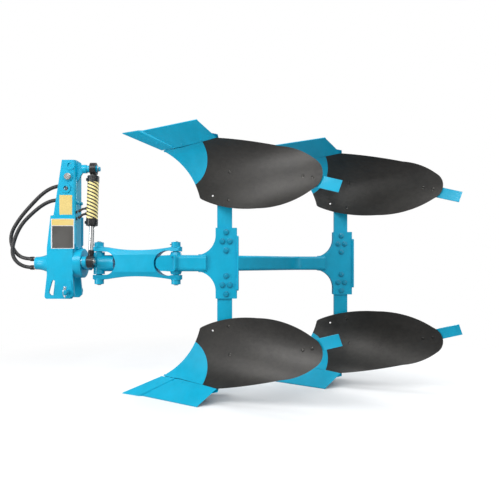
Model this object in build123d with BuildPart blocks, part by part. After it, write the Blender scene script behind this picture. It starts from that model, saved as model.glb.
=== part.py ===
from build123d import *
from collections import namedtuple
from math import asin, cos, degrees, pi, radians, sin, tan
import os

# Two-furrow reversible mouldboard plough, standing on the points and landsides of its
# lower bodies. While it is drawn, X runs rearwards, Y to the plough's right, and the
# turnover axis is the X axis. All lengths are in millimetres, all angles in degrees.
# The last lines set the whole plough on the floor, centred over the origin.

# Frame layout
AXIS_HEIGHT = 716.0       # turnover axis above the floor
FRONT_PIN_X = -825.0      # front pin of the offset linkage, on the turnover axis
REAR_PIN_X = -398.0
REAR_PIN_Y = -40.0
FRONT_LEG_X = -134.0      # middle of the front pair of legs
BODY_SPACING = 691.0      # along the plough
BODY_STAGGER = 373.0      # sideways, which is the furrow width

# Plates and fits
SEAT_GAP = 0.3            # between pieces that seat on each other
BORE_GAP = 0.1            # radial, between a pin and its bore
RUN_GAP = 0.3             # radial, between a swinging boss and its pin

# Tower and hub
TOWER_HALF = 56.0         # half the width over the bent channel
TOWER_WALL = 10.0
TOWER_REAR_X = -936.0
TOWER_TOP = 557.0
TOWER_CORNER_R = 18.0
TOWER_FOOT = 34.0         # lower end of the channel, on top of the hub
TOWER_TOP_FRONT_X = -1010.0
TOWER_KNEE_X = -1056.0
TOWER_KNEE_Z = 255.0
CHEEK_THICK = 14.0
FRONT_PLATE = 12.0
CHEEK_TOP = 256.0
CHEEK_TOP_X = -1066.0
CHEEK_REAR_X = -934.0
HUB_FRONT_X = -1086.0
HUB_TOP = 80.0
HUB_BOTTOM = -66.0
EAR_BOTTOM = -191.0
EAR_FRONT_X = -1100.0
EAR_REAR_X = -938.0
EAR_ROOT_X = -948.0
EAR_CHAMFER = 17.0
EAR_CORNER_R = 14.0
EAR_ROOT_TOP = 84.0
SLOT_TOP_X = -1051.0
SLOT_TOP_Z = -100.0
SLOT_LOW_X = -1058.0
SLOT_LOW_Z = -155.0
SLOT_TOP_R = 9.0
SLOT_LOW_R = 17.0
TOP_LINK_R = 13.0
TOP_LINK_BOSS_R = 25.0
TOP_LINK_BOSS_PROUD = 5.0
TopLinkHole = namedtuple("TopLinkHole", "x z")
TOP_LINK_HOLES = (TopLinkHole(-966, 527), TopLinkHole(-977, 466), TopLinkHole(-988, 403))
LINK_PIN_HEAD_R = 18.0
LINK_PIN_HEAD = 9.0
LINK_PIN_TAIL = 14.0
HITCH_X = -971.0
HITCH_Z = -155.0
HITCH_R = 14.0
HITCH_COLLAR_R = 32.0
HITCH_COLLAR = 9.0
HITCH_LENGTH = 54.0
HITCH_END_CHAMFER = 4.0
HITCH_PAD_HALF = 20.0
HITCH_PAD_TOP = -92.0
HITCH_PAD = 4.0
NOSE_TIP_X = -1169.0
NOSE_TIP_R = 35.0
NOSE_MID_X = -1120.0
NOSE_MID_R = 43.0
NOSE_BASE_R = 62.0
HUB_R = 52.0
RING_R = 80.0
RING_END_X = -903.0
SHAFT_R = 36.0
SHAFT_FRONT_X = -1068.0
SHAFT_END_GAP = 4.0

# Turnover head
CRANK_HUB_R = 39.0
CRANK_FRONT_X = -890.0
CRANK_REAR_X = -868.0
CRANK_PIN_Y = -78.0
CRANK_PIN_Z = 8.0
CRANK_EYE_R = 28.0
HEAD_NECK_R = 30.0
HEAD_R = 44.5
HEAD_FRONT_X = -826.0
HEAD_REAR_X = -740.0
HEAD_BOSS_R = 30.0
HEAD_BOSS_HALF = 60.0
LINK_STAY_X = 35.0        # turnbuckle pivots, from the linkage pins
LINK_STAY_Y = 88.0
STAY_LUG_R = 20.0
STAY_LUG_IN = 13.0
STAY_LUG = 12.0
STAY_PIN_R = 10.0
STAY_PIN_HEAD_R = 15.0
STAY_PIN_HEAD = 5.0
STAY_EYE_HALF = 11.0
STAY_ROD_R = 10.0
STAY_TUBE_R = 14.0
STAY_TUBE_END = 95.0      # from each pivot to the end of the turnbuckle's tube
STAY_OPEN_GAP = 1.0       # radial clearance at the turnbuckle's rear pin

# Offset link
LINK_HALF_WIDTH = 42.0
LINK_FACE_HALF = 46.0     # flat part of its side
LINK_CROWN_HALF = 22.0
LINK_END_HALF = 88.0
LINK_WAIST_HALF = 71.0
LINK_FORK_HALF = 64.0
LINK_FRONT_WEB = 105.0    # from the front pin
LINK_REAR_WEB = 112.0     # from the rear pin
LINK_EAR_R = 34.0
LINK_BOSS_R = 25.0
LINK_BOSS_TOP = 114.0
LINK_PIN_R = 16.0
LINK_PIN_OVER = 2.0       # pin's end beyond its boss

# Main frame
NECK_TUBE = 88.0
NECK_CORNER_R = 20.0
BEAM_TUBE = 82.0
BEAM_CORNER_R = 14.0
TUBE_WALL = 8.0
NECK_STUB = 40.0
NECK_NOSE_HALF = 30.0     # half the width of the nose that reaches into the link
NOSE_GAP = 7.0            # between the nose and the link's web
NECK_BOSS_R = 32.0
NECK_BOSS_TOP_R = 26.0
NECK_BOSS_HALF = 61.0
BEAM_BEND_R = 110.0
BEAM_BEND_BACK = 283.0    # from the bend to the leg behind it
BEAM_START_Y = -20.0
LEG_WIDTH = 80.0
LEG_THICK = 30.0
LEG_INNER = 50.0          # from the turnover axis to the leg's inner end
LEG_OUTER = 606.0
PLATE_THICK = 12.0
PLATE_HALF = 190.0
PLATE_FRONT = -48.0       # the next four run along X from the middle of the leg
PLATE_REAR = 66.0
PLATE_ROOT = -141.0
TUBE_END = -98.0
PLATE_ARC_TOP = 146.0
STRAP_THICK = 9.0
STRAP_HALF = 147.0
STRAP_NEAR = -42.0        # sideways from the leg
STRAP_FAR = 80.0

# Turnover cylinder, along its own axis from the top pin
CYLINDER_X = -848.0
TOP_PIN_Y = -25.0
TOP_PIN_Z = 512.0
TOP_PIN_R = 12.5
BRACKET_THICK = 16.0
BRACKET_DROP = 72.0       # from the top pin down to the foot of the bracket's web
BRACKET_BOSS_R = 22.0
BRACKET_BOSS_FRONT_X = -908.0
BRACKET_BOSS_REAR_X = -884.5
OPEN_PIVOT_GAP = 0.5      # from the bracket's boss to the spacer of the top pin
SPACER_R = 19.0
CRANK_PIN_HEAD_R = 20.0
CRANK_PIN_HEAD = 4.0
EYE_HALF = 15.0
EYE_SIDE_GAP = 2.0
TOP_EYE_R = 34.0
ROD_EYE_R = 33.0
CRANK_PIN_R = 15.0
CAP_R = 31.0
BARREL_R = 27.0
SLEEVE_R = 30.0
CAP_START = 41.0
CAP_LENGTH = 34.0
BARREL_END = 311.0
BARREL_BORE_R = 22.0
BARREL_BORE_START = 90.0
ROD_R = 13.0
PISTON_START = 175.0
PISTON_LENGTH = 22.0
EYE_NECK_R = 14.0
PIN_TAIL = 20.0
WASHER_R = 19.0
WASHER = 5.0

# Working surface of a body: a slanted line below and an arc above, on side planes that
# are measured from the landside. Heights are above the floor.
LAND_Y = 5.0              # landside face of the front bodies
SURFACE_SLOPE = 27.0
TANGENT_Z = 98.0
SURFACE_TOP = 475.0
SURFACE_FOOT = 4.0
Station = namedtuple("Station", "out x radius")
SHIN_STATION = Station(0.0, -476.0, 390.0)
TAIL_STATION = Station(600.0, 385.6, 216.0)
MOULD_THICK = 12.0
SHARE_THICK = 15.0
FROG_THICK = 20.0
SEAM = 0.6                # gap between plates that meet on the surface
CROWN_HOLE_R = 5.0        # open hole near the mouldboard's crown
POINT_WIDTH = 58.0
POINT_TIP_X = -702.0
POINT_TOP_X = -483.0
POINT_TOP_Z = 96.0
POINT_LIP = 5.0
POINT_RAKE = 102.0        # the tip's far corner lies behind its near one
POINT_SKEW = 78.0
LANDSIDE_THICK = 14.0
LANDSIDE_HEIGHT = 92.0
LANDSIDE_HEEL_X = -232.0
LANDSIDE_HEEL_LEAN = 54.0  # the heel's top lies further back than its foot
WEB_THICK = 16.0
WEB_TOP = 300.0
SIDE_REACH = 700.0

# Hoses: the route's points, from the bulkhead inside the tower to the hub's nose
HOSE_R = 10.0
FITTING_R = 12.0
BULKHEAD_X = -1012.0
OUTER_HOSE = (
    (-1016, 22, 430),
    (-1060, 22, 430),
    (-1132, 21.5, 398.5),
    (-1214, 21, 315),
    (-1271, 20, 246.5),
    (-1317, 19, 170),
    (-1317.5, 17, 104.5),
    (-1286, 13, 51),
    (-1235, 0, 23.5),
    (-1181, 0, 23.5),
)
INNER_HOSE = (
    (-1016, 22, 352),
    (-1077, 22, 352),
    (-1138, 17, 326.5),
    (-1205, 8, 267.5),
    (-1258, -2, 204.5),
    (-1291, -12, 116.5),
    (-1296.5, -17, 48),
    (-1270.5, -12, 1),
    (-1223.5, 0, -23.5),
    (-1181, 0, -23.5),
)

os.makedirs("parts", exist_ok=True)
pieces = {}
cords = {}

Body = namedtuple("Body", "name back across upper")
BODIES = (
    Body("front_lower", 0.0, 0.0, False),
    Body("front_upper", 0.0, 0.0, True),
    Body("rear_lower", BODY_SPACING, BODY_STAGGER, False),
    Body("rear_upper", BODY_SPACING, BODY_STAGGER, True),
)
FRONT_LEG_Y = REAR_PIN_Y
FLOOR = -AXIS_HEIGHT


def side_plane(y, back=0.0):
    """Upright plane along the plough at y, seen from the left, with local x rearwards."""
    return Plane(origin=(back, y, 0), x_dir=(1, 0, 0), z_dir=(0, -1, 0))


def between(a, b, radius):
    """A round bar from point a to point b."""
    start = Vector(*a)
    run = Vector(*b) - start
    with BuildPart() as bar:
        with BuildSketch(Plane(origin=start, z_dir=run.normalized())):
            Circle(radius)
        extrude(amount=run.length)
    return bar.part


# Tower: a bent channel that stands on the hub, with ringed top-link holes
inner_half = TOWER_HALF - TOWER_WALL
channel_front = HUB_FRONT_X + FRONT_PLATE
tower_outline = (
    (TOWER_TOP_FRONT_X, TOWER_TOP),
    (TOWER_REAR_X, TOWER_TOP),
    (TOWER_REAR_X, TOWER_FOOT),
    (channel_front, TOWER_FOOT),
    (channel_front, HUB_TOP),
    (TOWER_KNEE_X, TOWER_KNEE_Z),
)
boss_face = TOWER_HALF + TOP_LINK_BOSS_PROUD
with BuildPart() as tower:
    with BuildSketch(side_plane(TOWER_HALF)):
        Polygon(*tower_outline, align=None)
    extrude(amount=2 * TOWER_HALF)
    fillet(tower.edges().filter_by(Axis.Z).group_by(Axis.X)[-1], TOWER_CORNER_R)
    with BuildSketch(Plane.XY.offset(TOWER_FOOT)):
        with Locations(((channel_front + TOWER_REAR_X - TOWER_WALL) / 2, 0)):
            cavity = Rectangle(TOWER_REAR_X - TOWER_WALL - channel_front, 2 * inner_half)
        fillet(cavity.vertices().group_by(Axis.X)[-1], TOWER_CORNER_R - TOWER_WALL)
    extrude(amount=TOWER_TOP - TOWER_FOOT, mode=Mode.SUBTRACT)
    for y in (boss_face, -TOWER_HALF):
        with BuildSketch(side_plane(y)):
            with Locations(*[(hole.x, hole.z) for hole in TOP_LINK_HOLES]):
                Circle(TOP_LINK_BOSS_R)
        extrude(amount=TOP_LINK_BOSS_PROUD)
    with BuildSketch(side_plane(boss_face)):
        with Locations(*[(hole.x, hole.z) for hole in TOP_LINK_HOLES]):
            Circle(TOP_LINK_R)
    extrude(amount=2 * boss_face, mode=Mode.SUBTRACT)
    with BuildSketch(Plane.YZ.offset(HUB_FRONT_X)):
        Circle(HUB_R + SEAT_GAP)
    extrude(amount=TOWER_REAR_X - HUB_FRONT_X, mode=Mode.SUBTRACT)
    with BuildSketch(Plane.YZ.offset(EAR_ROOT_X - SEAT_GAP)):
        Circle(RING_R + SEAT_GAP)
    extrude(amount=TOWER_REAR_X - EAR_ROOT_X + 1, mode=Mode.SUBTRACT)
pieces["tower"] = tower

# Cheek plates on both sides of the hub, which run down into the slotted ears
cheek_outline = (
    (CHEEK_TOP_X, CHEEK_TOP),
    (HUB_FRONT_X, HUB_TOP),
    (HUB_FRONT_X, HUB_BOTTOM),
    (EAR_FRONT_X, EAR_BOTTOM),
    (EAR_REAR_X - EAR_CHAMFER, EAR_BOTTOM),
    (EAR_REAR_X, EAR_BOTTOM + EAR_CHAMFER),
    (EAR_ROOT_X, HUB_BOTTOM),
    (EAR_ROOT_X, EAR_ROOT_TOP),
    (CHEEK_REAR_X, EAR_ROOT_TOP + EAR_CHAMFER),
    (CHEEK_REAR_X, CHEEK_TOP),
)
cheek_face = TOWER_HALF + CHEEK_THICK
with BuildPart() as hub_cheeks:
    for y in (cheek_face, -TOWER_HALF):
        with BuildSketch(side_plane(y)) as ear:
            with BuildLine():
                Polyline(*cheek_outline, close=True)
            make_face()
            fillet(ear.vertices().sort_by(Axis.Y)[:2].sort_by(Axis.X)[0], EAR_CORNER_R)
        extrude(amount=CHEEK_THICK)
    with BuildSketch(side_plane(cheek_face)):
        with Locations((SLOT_TOP_X, SLOT_TOP_Z)):
            Circle(SLOT_TOP_R)
        with Locations((SLOT_LOW_X, SLOT_LOW_Z)):
            Circle(SLOT_LOW_R)
        make_hull()
    extrude(amount=2 * cheek_face, mode=Mode.SUBTRACT)
pieces["hub_cheeks"] = hub_cheeks

# Plate across the front, between the cheeks, with the hub through it
with BuildPart() as hub_front_plate:
    with BuildSketch(Plane.YZ.offset(HUB_FRONT_X)):
        with Locations((0, (HUB_TOP + HUB_BOTTOM) / 2)):
            Rectangle(2 * TOWER_HALF, HUB_TOP - HUB_BOTTOM)
        Circle(HUB_R + BORE_GAP, mode=Mode.SUBTRACT)
    extrude(amount=FRONT_PLATE)
pieces["hub_front_plate"] = hub_front_plate

# Hub housing, turned about the turnover axis, with its concave nose
with BuildPart() as hub_housing:
    with BuildSketch(Plane.XZ):
        with BuildLine():
            Polyline(
                (HUB_FRONT_X, NOSE_BASE_R),
                (HUB_FRONT_X, HUB_R),
                (EAR_ROOT_X, HUB_R),
                (EAR_ROOT_X, RING_R),
                (RING_END_X, RING_R),
                (RING_END_X, SHAFT_R + BORE_GAP),
                (SHAFT_FRONT_X - SHAFT_END_GAP, SHAFT_R + BORE_GAP),
                (SHAFT_FRONT_X - SHAFT_END_GAP, 0),
                (NOSE_TIP_X, 0),
                (NOSE_TIP_X, NOSE_TIP_R),
            )
            ThreePointArc(
                (NOSE_TIP_X, NOSE_TIP_R), (NOSE_MID_X, NOSE_MID_R), (HUB_FRONT_X, NOSE_BASE_R)
            )
        make_face()
    revolve(axis=Axis.X)
    chamfer(hub_housing.edges().filter_by(GeomType.CIRCLE).group_by(Axis.X)[-1].sort_by(SortBy.RADIUS)[-1], 4)
pieces["hub_housing"] = hub_housing

# Lower hitch pins with their collars and pads, one on each ear
with BuildPart() as hitch_pins:
    with BuildSketch(side_plane(-cheek_face)):
        with Locations((HITCH_X, HITCH_Z)):
            Circle(HITCH_PAD_HALF)
        with Locations((HITCH_X, HITCH_PAD_TOP - HITCH_PAD_HALF)):
            Circle(HITCH_PAD_HALF)
        make_hull()
    extrude(amount=HITCH_PAD)
    with BuildSketch(side_plane(-cheek_face)):
        with Locations((HITCH_X, HITCH_Z)):
            Circle(HITCH_COLLAR_R)
    extrude(amount=HITCH_COLLAR)
    with BuildSketch(side_plane(-cheek_face - HITCH_COLLAR)):
        with Locations((HITCH_X, HITCH_Z)):
            Circle(HITCH_R)
    extrude(amount=HITCH_LENGTH)
    chamfer(hitch_pins.faces().sort_by(Axis.Y)[0].edges(), HITCH_END_CHAMFER)
    mirror(about=Plane.XZ)
pieces["hitch_pins"] = hitch_pins

# Top link pin in the middle hole
link_hole = TOP_LINK_HOLES[1]
pin_seat = TOWER_HALF + TOP_LINK_BOSS_PROUD + SEAT_GAP
with BuildPart() as top_link_pin:
    with BuildSketch(side_plane(-pin_seat)):
        with Locations((link_hole.x, link_hole.z)):
            Circle(LINK_PIN_HEAD_R)
    extrude(amount=LINK_PIN_HEAD)
    chamfer(top_link_pin.faces().sort_by(Axis.Y)[0].edges(), 2)
    with BuildSketch(side_plane(pin_seat + LINK_PIN_TAIL)):
        with Locations((link_hole.x, link_hole.z)):
            Circle(TOP_LINK_R - BORE_GAP)
    extrude(amount=2 * pin_seat + LINK_PIN_TAIL)
pieces["top_link_pin"] = top_link_pin

# Bracket for the turnover cylinder on the tower's rear wall
with BuildPart() as cylinder_bracket:
    with BuildSketch(side_plane(TOP_PIN_Y + BRACKET_THICK / 2)):
        with BuildLine():
            Polyline(
                (TOWER_REAR_X, TOWER_TOP - 8),
                (BRACKET_BOSS_FRONT_X, TOP_PIN_Z + BRACKET_BOSS_R),
                (BRACKET_BOSS_REAR_X, TOP_PIN_Z + BRACKET_BOSS_R),
                (BRACKET_BOSS_REAR_X, TOP_PIN_Z - BRACKET_BOSS_R),
                (BRACKET_BOSS_FRONT_X, TOP_PIN_Z - BRACKET_BOSS_R),
                (TOWER_REAR_X, TOP_PIN_Z - BRACKET_DROP),
                close=True,
            )
        make_face()
    extrude(amount=BRACKET_THICK)
    with BuildSketch(Plane.YZ.offset(BRACKET_BOSS_FRONT_X)):
        with Locations((TOP_PIN_Y, TOP_PIN_Z)):
            Circle(BRACKET_BOSS_R)
    extrude(amount=BRACKET_BOSS_REAR_X - BRACKET_BOSS_FRONT_X)
pieces["cylinder_bracket"] = cylinder_bracket

# Pin of the cylinder's top eye, with the spacer that runs up to the bracket's boss
spacer_x = BRACKET_BOSS_REAR_X + OPEN_PIVOT_GAP
with BuildPart() as cylinder_pin:
    with BuildSketch(Plane.YZ.offset(spacer_x)):
        with Locations((TOP_PIN_Y, TOP_PIN_Z)):
            Circle(SPACER_R)
    extrude(amount=CYLINDER_X - EYE_HALF - SEAT_GAP - spacer_x)
    with BuildSketch(Plane.YZ.offset(spacer_x)):
        with Locations((TOP_PIN_Y, TOP_PIN_Z)):
            Circle(TOP_PIN_R)
    extrude(amount=CYLINDER_X + EYE_HALF + PIN_TAIL - spacer_x)
    with BuildSketch(Plane.YZ.offset(CYLINDER_X + EYE_HALF + SEAT_GAP)):
        with Locations((TOP_PIN_Y, TOP_PIN_Z)):
            Circle(WASHER_R)
    extrude(amount=WASHER)
pieces["cylinder_pin"] = cylinder_pin

# Turnover head: shaft, crank arm, head boss, pin boss and the turnbuckle's lugs
stay_front = (FRONT_PIN_X + LINK_STAY_X, LINK_STAY_Y)
stay_rear = (REAR_PIN_X + LINK_STAY_X, REAR_PIN_Y + LINK_STAY_Y)
with BuildPart() as turnover_head:
    with BuildSketch(Plane.XZ):
        with BuildLine():
            Polyline(
                (SHAFT_FRONT_X, 0),
                (SHAFT_FRONT_X, SHAFT_R),
                (CRANK_FRONT_X, SHAFT_R),
                (CRANK_FRONT_X, CRANK_HUB_R),
                (CRANK_REAR_X, CRANK_HUB_R),
                (CRANK_REAR_X, HEAD_NECK_R),
                (HEAD_FRONT_X, HEAD_NECK_R),
                (HEAD_FRONT_X, HEAD_R),
                (HEAD_REAR_X, HEAD_R),
                (HEAD_REAR_X, 0),
                close=True,
            )
        make_face()
    revolve(axis=Axis.X)
    with BuildSketch(Plane.YZ.offset(CRANK_FRONT_X)):
        Circle(CRANK_HUB_R)
        with Locations((CRANK_PIN_Y, CRANK_PIN_Z)):
            Circle(CRANK_EYE_R)
        make_hull()
    extrude(amount=CRANK_REAR_X - CRANK_FRONT_X)
    with BuildSketch(Plane.XY.offset(-HEAD_BOSS_HALF)):
        with Locations((FRONT_PIN_X, 0)):
            Circle(HEAD_BOSS_R)
    extrude(amount=2 * HEAD_BOSS_HALF)
    for z in (STAY_LUG_IN, -STAY_LUG_IN - STAY_LUG):
        with BuildSketch(Plane.XY.offset(z)):
            with Locations(stay_front):
                Circle(STAY_LUG_R)
            with Locations((stay_front[0], HEAD_R / 2)):
                Rectangle(2 * STAY_LUG_R, HEAD_R)
            make_hull()
        extrude(amount=STAY_LUG)
    with BuildSketch(Plane.XY.offset(-HEAD_R * 2)):
        with Locations((FRONT_PIN_X, 0)):
            Circle(LINK_PIN_R + RUN_GAP)
        with Locations(stay_front):
            Circle(STAY_PIN_R + BORE_GAP)
    extrude(amount=HEAD_R * 4, mode=Mode.SUBTRACT)
    with BuildSketch(Plane.YZ.offset(CRANK_FRONT_X)):
        with Locations((CRANK_PIN_Y, CRANK_PIN_Z)):
            Circle(CRANK_PIN_R + BORE_GAP)
    extrude(amount=CRANK_REAR_X - CRANK_FRONT_X, mode=Mode.SUBTRACT)
pieces["turnover_head"] = turnover_head

# Offset link, drawn along its own length from the front pin
link_run = Vector(REAR_PIN_X - FRONT_PIN_X, REAR_PIN_Y, 0)
link_dir = link_run.normalized()
link_across = Vector(link_dir.Y, -link_dir.X, 0)
link_length = link_run.length
link_side = Plane(origin=(FRONT_PIN_X, 0, 0), x_dir=link_dir, z_dir=link_across)
link_top = Plane(origin=(FRONT_PIN_X, 0, 0), x_dir=link_dir, z_dir=(0, 0, 1))
link_end = Plane(origin=(FRONT_PIN_X, 0, 0), x_dir=link_across, z_dir=link_dir)
ends = (0.0, link_length)
fork_flat = 45.0
rear_flat = 20.0
with BuildPart() as offset_link:
    with BuildSketch(link_side):
        with BuildLine():
            crown = ThreePointArc(
                (fork_flat, LINK_END_HALF), (link_length / 2, LINK_WAIST_HALF),
                (link_length - rear_flat, LINK_END_HALF),
            )
            Polyline(crown @ 1, (link_length + LINK_EAR_R, LINK_END_HALF),
                     (link_length + LINK_EAR_R, 0), (-LINK_EAR_R, 0),
                     (-LINK_EAR_R, LINK_END_HALF), crown @ 0)
        make_face()
        mirror(about=Plane.XZ)
    extrude(amount=LINK_HALF_WIDTH, both=True)
    with BuildSketch(link_top):
        with Locations(*[(s, 0) for s in ends]):
            Circle(LINK_EAR_R)
        with Locations((link_length / 2, 0)):
            Rectangle(link_length - 2 * LINK_EAR_R, 2 * LINK_HALF_WIDTH)
        make_hull()
    extrude(amount=LINK_END_HALF, both=True, mode=Mode.INTERSECT)
    with BuildSketch(link_end):
        Polygon(
            (-LINK_HALF_WIDTH, LINK_FACE_HALF), (-LINK_CROWN_HALF, LINK_END_HALF),
            (LINK_CROWN_HALF, LINK_END_HALF), (LINK_HALF_WIDTH, LINK_FACE_HALF),
            (LINK_HALF_WIDTH, -LINK_FACE_HALF), (LINK_CROWN_HALF, -LINK_END_HALF),
            (-LINK_CROWN_HALF, -LINK_END_HALF), (-LINK_HALF_WIDTH, -LINK_FACE_HALF),
            align=None,
        )
    extrude(amount=2 * link_length, both=True, mode=Mode.INTERSECT)
    with BuildSketch(link_side):
        with BuildLine():
            front_arc = ThreePointArc(
                (fork_flat, LINK_FORK_HALF), (LINK_FRONT_WEB, 0), (fork_flat, -LINK_FORK_HALF)
            )
            Polyline(front_arc @ 1, (-2 * LINK_EAR_R, -LINK_FORK_HALF),
                     (-2 * LINK_EAR_R, LINK_FORK_HALF), front_arc @ 0)
        make_face()
        with BuildLine():
            rear_arc = ThreePointArc(
                (link_length - rear_flat, LINK_FORK_HALF), (link_length - LINK_REAR_WEB, 0),
                (link_length - rear_flat, -LINK_FORK_HALF),
            )
            Polyline(rear_arc @ 1, (link_length + 2 * LINK_EAR_R, -LINK_FORK_HALF),
                     (link_length + 2 * LINK_EAR_R, LINK_FORK_HALF), rear_arc @ 0)
        make_face()
    extrude(amount=2 * LINK_HALF_WIDTH, both=True, mode=Mode.SUBTRACT)
    for z in (LINK_FORK_HALF, -LINK_BOSS_TOP):
        with BuildSketch(link_top.offset(z)):
            with Locations(*[(s, 0) for s in ends]):
                Circle(LINK_BOSS_R)
        extrude(amount=LINK_BOSS_TOP - LINK_FORK_HALF)
    with BuildSketch(link_top.offset(-LINK_BOSS_TOP)):
        with Locations(*[(s, 0) for s in ends]):
            Circle(LINK_PIN_R + BORE_GAP)
    extrude(amount=2 * LINK_BOSS_TOP, mode=Mode.SUBTRACT)
pieces["offset_link"] = offset_link

with BuildPart() as link_pins:
    with BuildSketch(link_top.offset(-LINK_BOSS_TOP - LINK_PIN_OVER)):
        with Locations(*[(s, 0) for s in ends]):
            Circle(LINK_PIN_R)
    extrude(amount=2 * (LINK_BOSS_TOP + LINK_PIN_OVER))
pieces["link_pins"] = link_pins

# Turnbuckle on the far side of the link: a tube, two eye bolts and their pins
stay_top = Plane(origin=(*stay_front, 0), x_dir=link_dir, z_dir=(0, 0, 1))
stay_end = Plane(origin=(*stay_front, 0), x_dir=link_across, z_dir=link_dir)
with BuildPart() as turnbuckle_tube:
    with BuildSketch(stay_end.offset(STAY_TUBE_END)):
        Circle(STAY_TUBE_R)
        Circle(STAY_ROD_R + BORE_GAP, mode=Mode.SUBTRACT)
    extrude(amount=link_length - 2 * STAY_TUBE_END)
pieces["turnbuckle_tube"] = turnbuckle_tube

rod_reach = STAY_TUBE_END + 45.0
with BuildPart() as turnbuckle_eyes:
    with BuildSketch(stay_top.offset(-STAY_EYE_HALF)):
        with Locations(*[(s, 0) for s in ends]):
            Circle(STAY_LUG_R)
    extrude(amount=2 * STAY_EYE_HALF)
    with BuildSketch(stay_end):
        Circle(STAY_ROD_R)
    extrude(amount=rod_reach)
    with BuildSketch(stay_end.offset(link_length - rod_reach)):
        Circle(STAY_ROD_R)
    extrude(amount=rod_reach)
    with BuildSketch(stay_top.offset(-STAY_EYE_HALF)):
        Circle(STAY_PIN_R + BORE_GAP)
        with Locations((link_length, 0)):
            Circle(STAY_PIN_R + STAY_OPEN_GAP)
    extrude(amount=2 * STAY_EYE_HALF, mode=Mode.SUBTRACT)
pieces["turnbuckle_eyes"] = turnbuckle_eyes

for end_name, spot in (("front", stay_front), ("rear", stay_rear)):
    with BuildPart() as stay_pin:
        with BuildSketch(Plane.XY.offset(-STAY_LUG_IN - STAY_LUG - STAY_PIN_HEAD)):
            with Locations(spot):
                Circle(STAY_PIN_R)
        extrude(amount=2 * (STAY_LUG_IN + STAY_LUG) + STAY_PIN_HEAD)
        with BuildSketch(Plane.XY.offset(STAY_LUG_IN + STAY_LUG)):
            with Locations(spot):
                Circle(STAY_PIN_HEAD_R)
        extrude(amount=STAY_PIN_HEAD)
    pieces[f"turnbuckle_{end_name}_pin"] = stay_pin

# Turnover cylinder: the barrel with its eye and caps, the sleeve, the rod and the crank pin
top_pin = Vector(CYLINDER_X, TOP_PIN_Y, TOP_PIN_Z)
crank_pin_at = Vector(CYLINDER_X, CRANK_PIN_Y, CRANK_PIN_Z)
reach = crank_pin_at - top_pin
reach_dir = reach.normalized()
along = Plane(origin=top_pin, x_dir=(1, 0, 0), z_dir=reach_dir)
across_eye = Plane.YZ.offset(CYLINDER_X - EYE_HALF)
with BuildPart() as cylinder_barrel:
    with BuildSketch(along.offset(CAP_START)):
        Circle(CAP_R)
    extrude(amount=CAP_LENGTH)
    with BuildSketch(along.offset(CAP_START)):
        Circle(BARREL_R)
    extrude(amount=BARREL_END - CAP_START)
    with BuildSketch(along.offset(BARREL_END - CAP_LENGTH)):
        Circle(CAP_R)
    extrude(amount=CAP_LENGTH)
    with BuildSketch(along.offset(BARREL_BORE_START)):
        Circle(BARREL_BORE_R)
    extrude(amount=BARREL_END - CAP_LENGTH - BARREL_BORE_START, mode=Mode.SUBTRACT)
    with BuildSketch(along.offset(BARREL_END - CAP_LENGTH)):
        Circle(ROD_R + BORE_GAP)
    extrude(amount=CAP_LENGTH, mode=Mode.SUBTRACT)
    with BuildSketch(along):
        Circle(EYE_NECK_R)
    extrude(amount=CAP_START)
    with BuildSketch(across_eye):
        with Locations((TOP_PIN_Y, TOP_PIN_Z)):
            Circle(TOP_EYE_R)
    extrude(amount=2 * EYE_HALF)
    with BuildSketch(across_eye):
        with Locations((TOP_PIN_Y, TOP_PIN_Z)):
            Circle(TOP_PIN_R + BORE_GAP)
    extrude(amount=2 * EYE_HALF, mode=Mode.SUBTRACT)
pieces["cylinder_barrel"] = cylinder_barrel

with BuildPart() as cylinder_sleeve:
    with BuildSketch(along.offset(CAP_START + CAP_LENGTH + SEAT_GAP)):
        Circle(SLEEVE_R)
        Circle(BARREL_R + BORE_GAP, mode=Mode.SUBTRACT)
    extrude(amount=BARREL_END - CAP_START - 2 * (CAP_LENGTH + SEAT_GAP))
pieces["cylinder_sleeve"] = cylinder_sleeve

with BuildPart() as cylinder_rod:
    with BuildSketch(along.offset(PISTON_START)):
        Circle(BARREL_BORE_R - BORE_GAP)
    extrude(amount=PISTON_LENGTH)
    with BuildSketch(along.offset(PISTON_START)):
        Circle(ROD_R)
    extrude(amount=reach.length - PISTON_START)
    with BuildSketch(across_eye):
        with Locations((CRANK_PIN_Y, CRANK_PIN_Z)):
            Circle(ROD_EYE_R)
    extrude(amount=2 * EYE_HALF)
    with BuildSketch(across_eye):
        with Locations((CRANK_PIN_Y, CRANK_PIN_Z)):
            Circle(CRANK_PIN_R + BORE_GAP)
    extrude(amount=2 * EYE_HALF, mode=Mode.SUBTRACT)
pieces["cylinder_rod"] = cylinder_rod

crank_head_x = CRANK_FRONT_X - SEAT_GAP - CRANK_PIN_HEAD
with BuildPart() as crank_pin:
    with BuildSketch(Plane.YZ.offset(crank_head_x)):
        with Locations((CRANK_PIN_Y, CRANK_PIN_Z)):
            Circle(CRANK_PIN_HEAD_R)
    extrude(amount=CRANK_PIN_HEAD)
    with BuildSketch(Plane.YZ.offset(crank_head_x)):
        with Locations((CRANK_PIN_Y, CRANK_PIN_Z)):
            Circle(CRANK_PIN_R)
    extrude(amount=CYLINDER_X + EYE_HALF + SEAT_GAP - crank_head_x)
    with BuildSketch(Plane.YZ.offset(CYLINDER_X + EYE_HALF + SEAT_GAP)):
        with Locations((CRANK_PIN_Y, CRANK_PIN_Z)):
            Circle(WASHER_R)
    extrude(amount=WASHER)
pieces["crank_pin"] = crank_pin

# Brackets that clamp the legs: two plates and a strap behind them, front and rear
Bracket = namedtuple("Bracket", "name back across tube")
BRACKETS = (
    Bracket("front", 0.0, 0.0, NECK_TUBE),
    Bracket("rear", BODY_SPACING, BODY_STAGGER, BEAM_TUBE),
)


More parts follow.
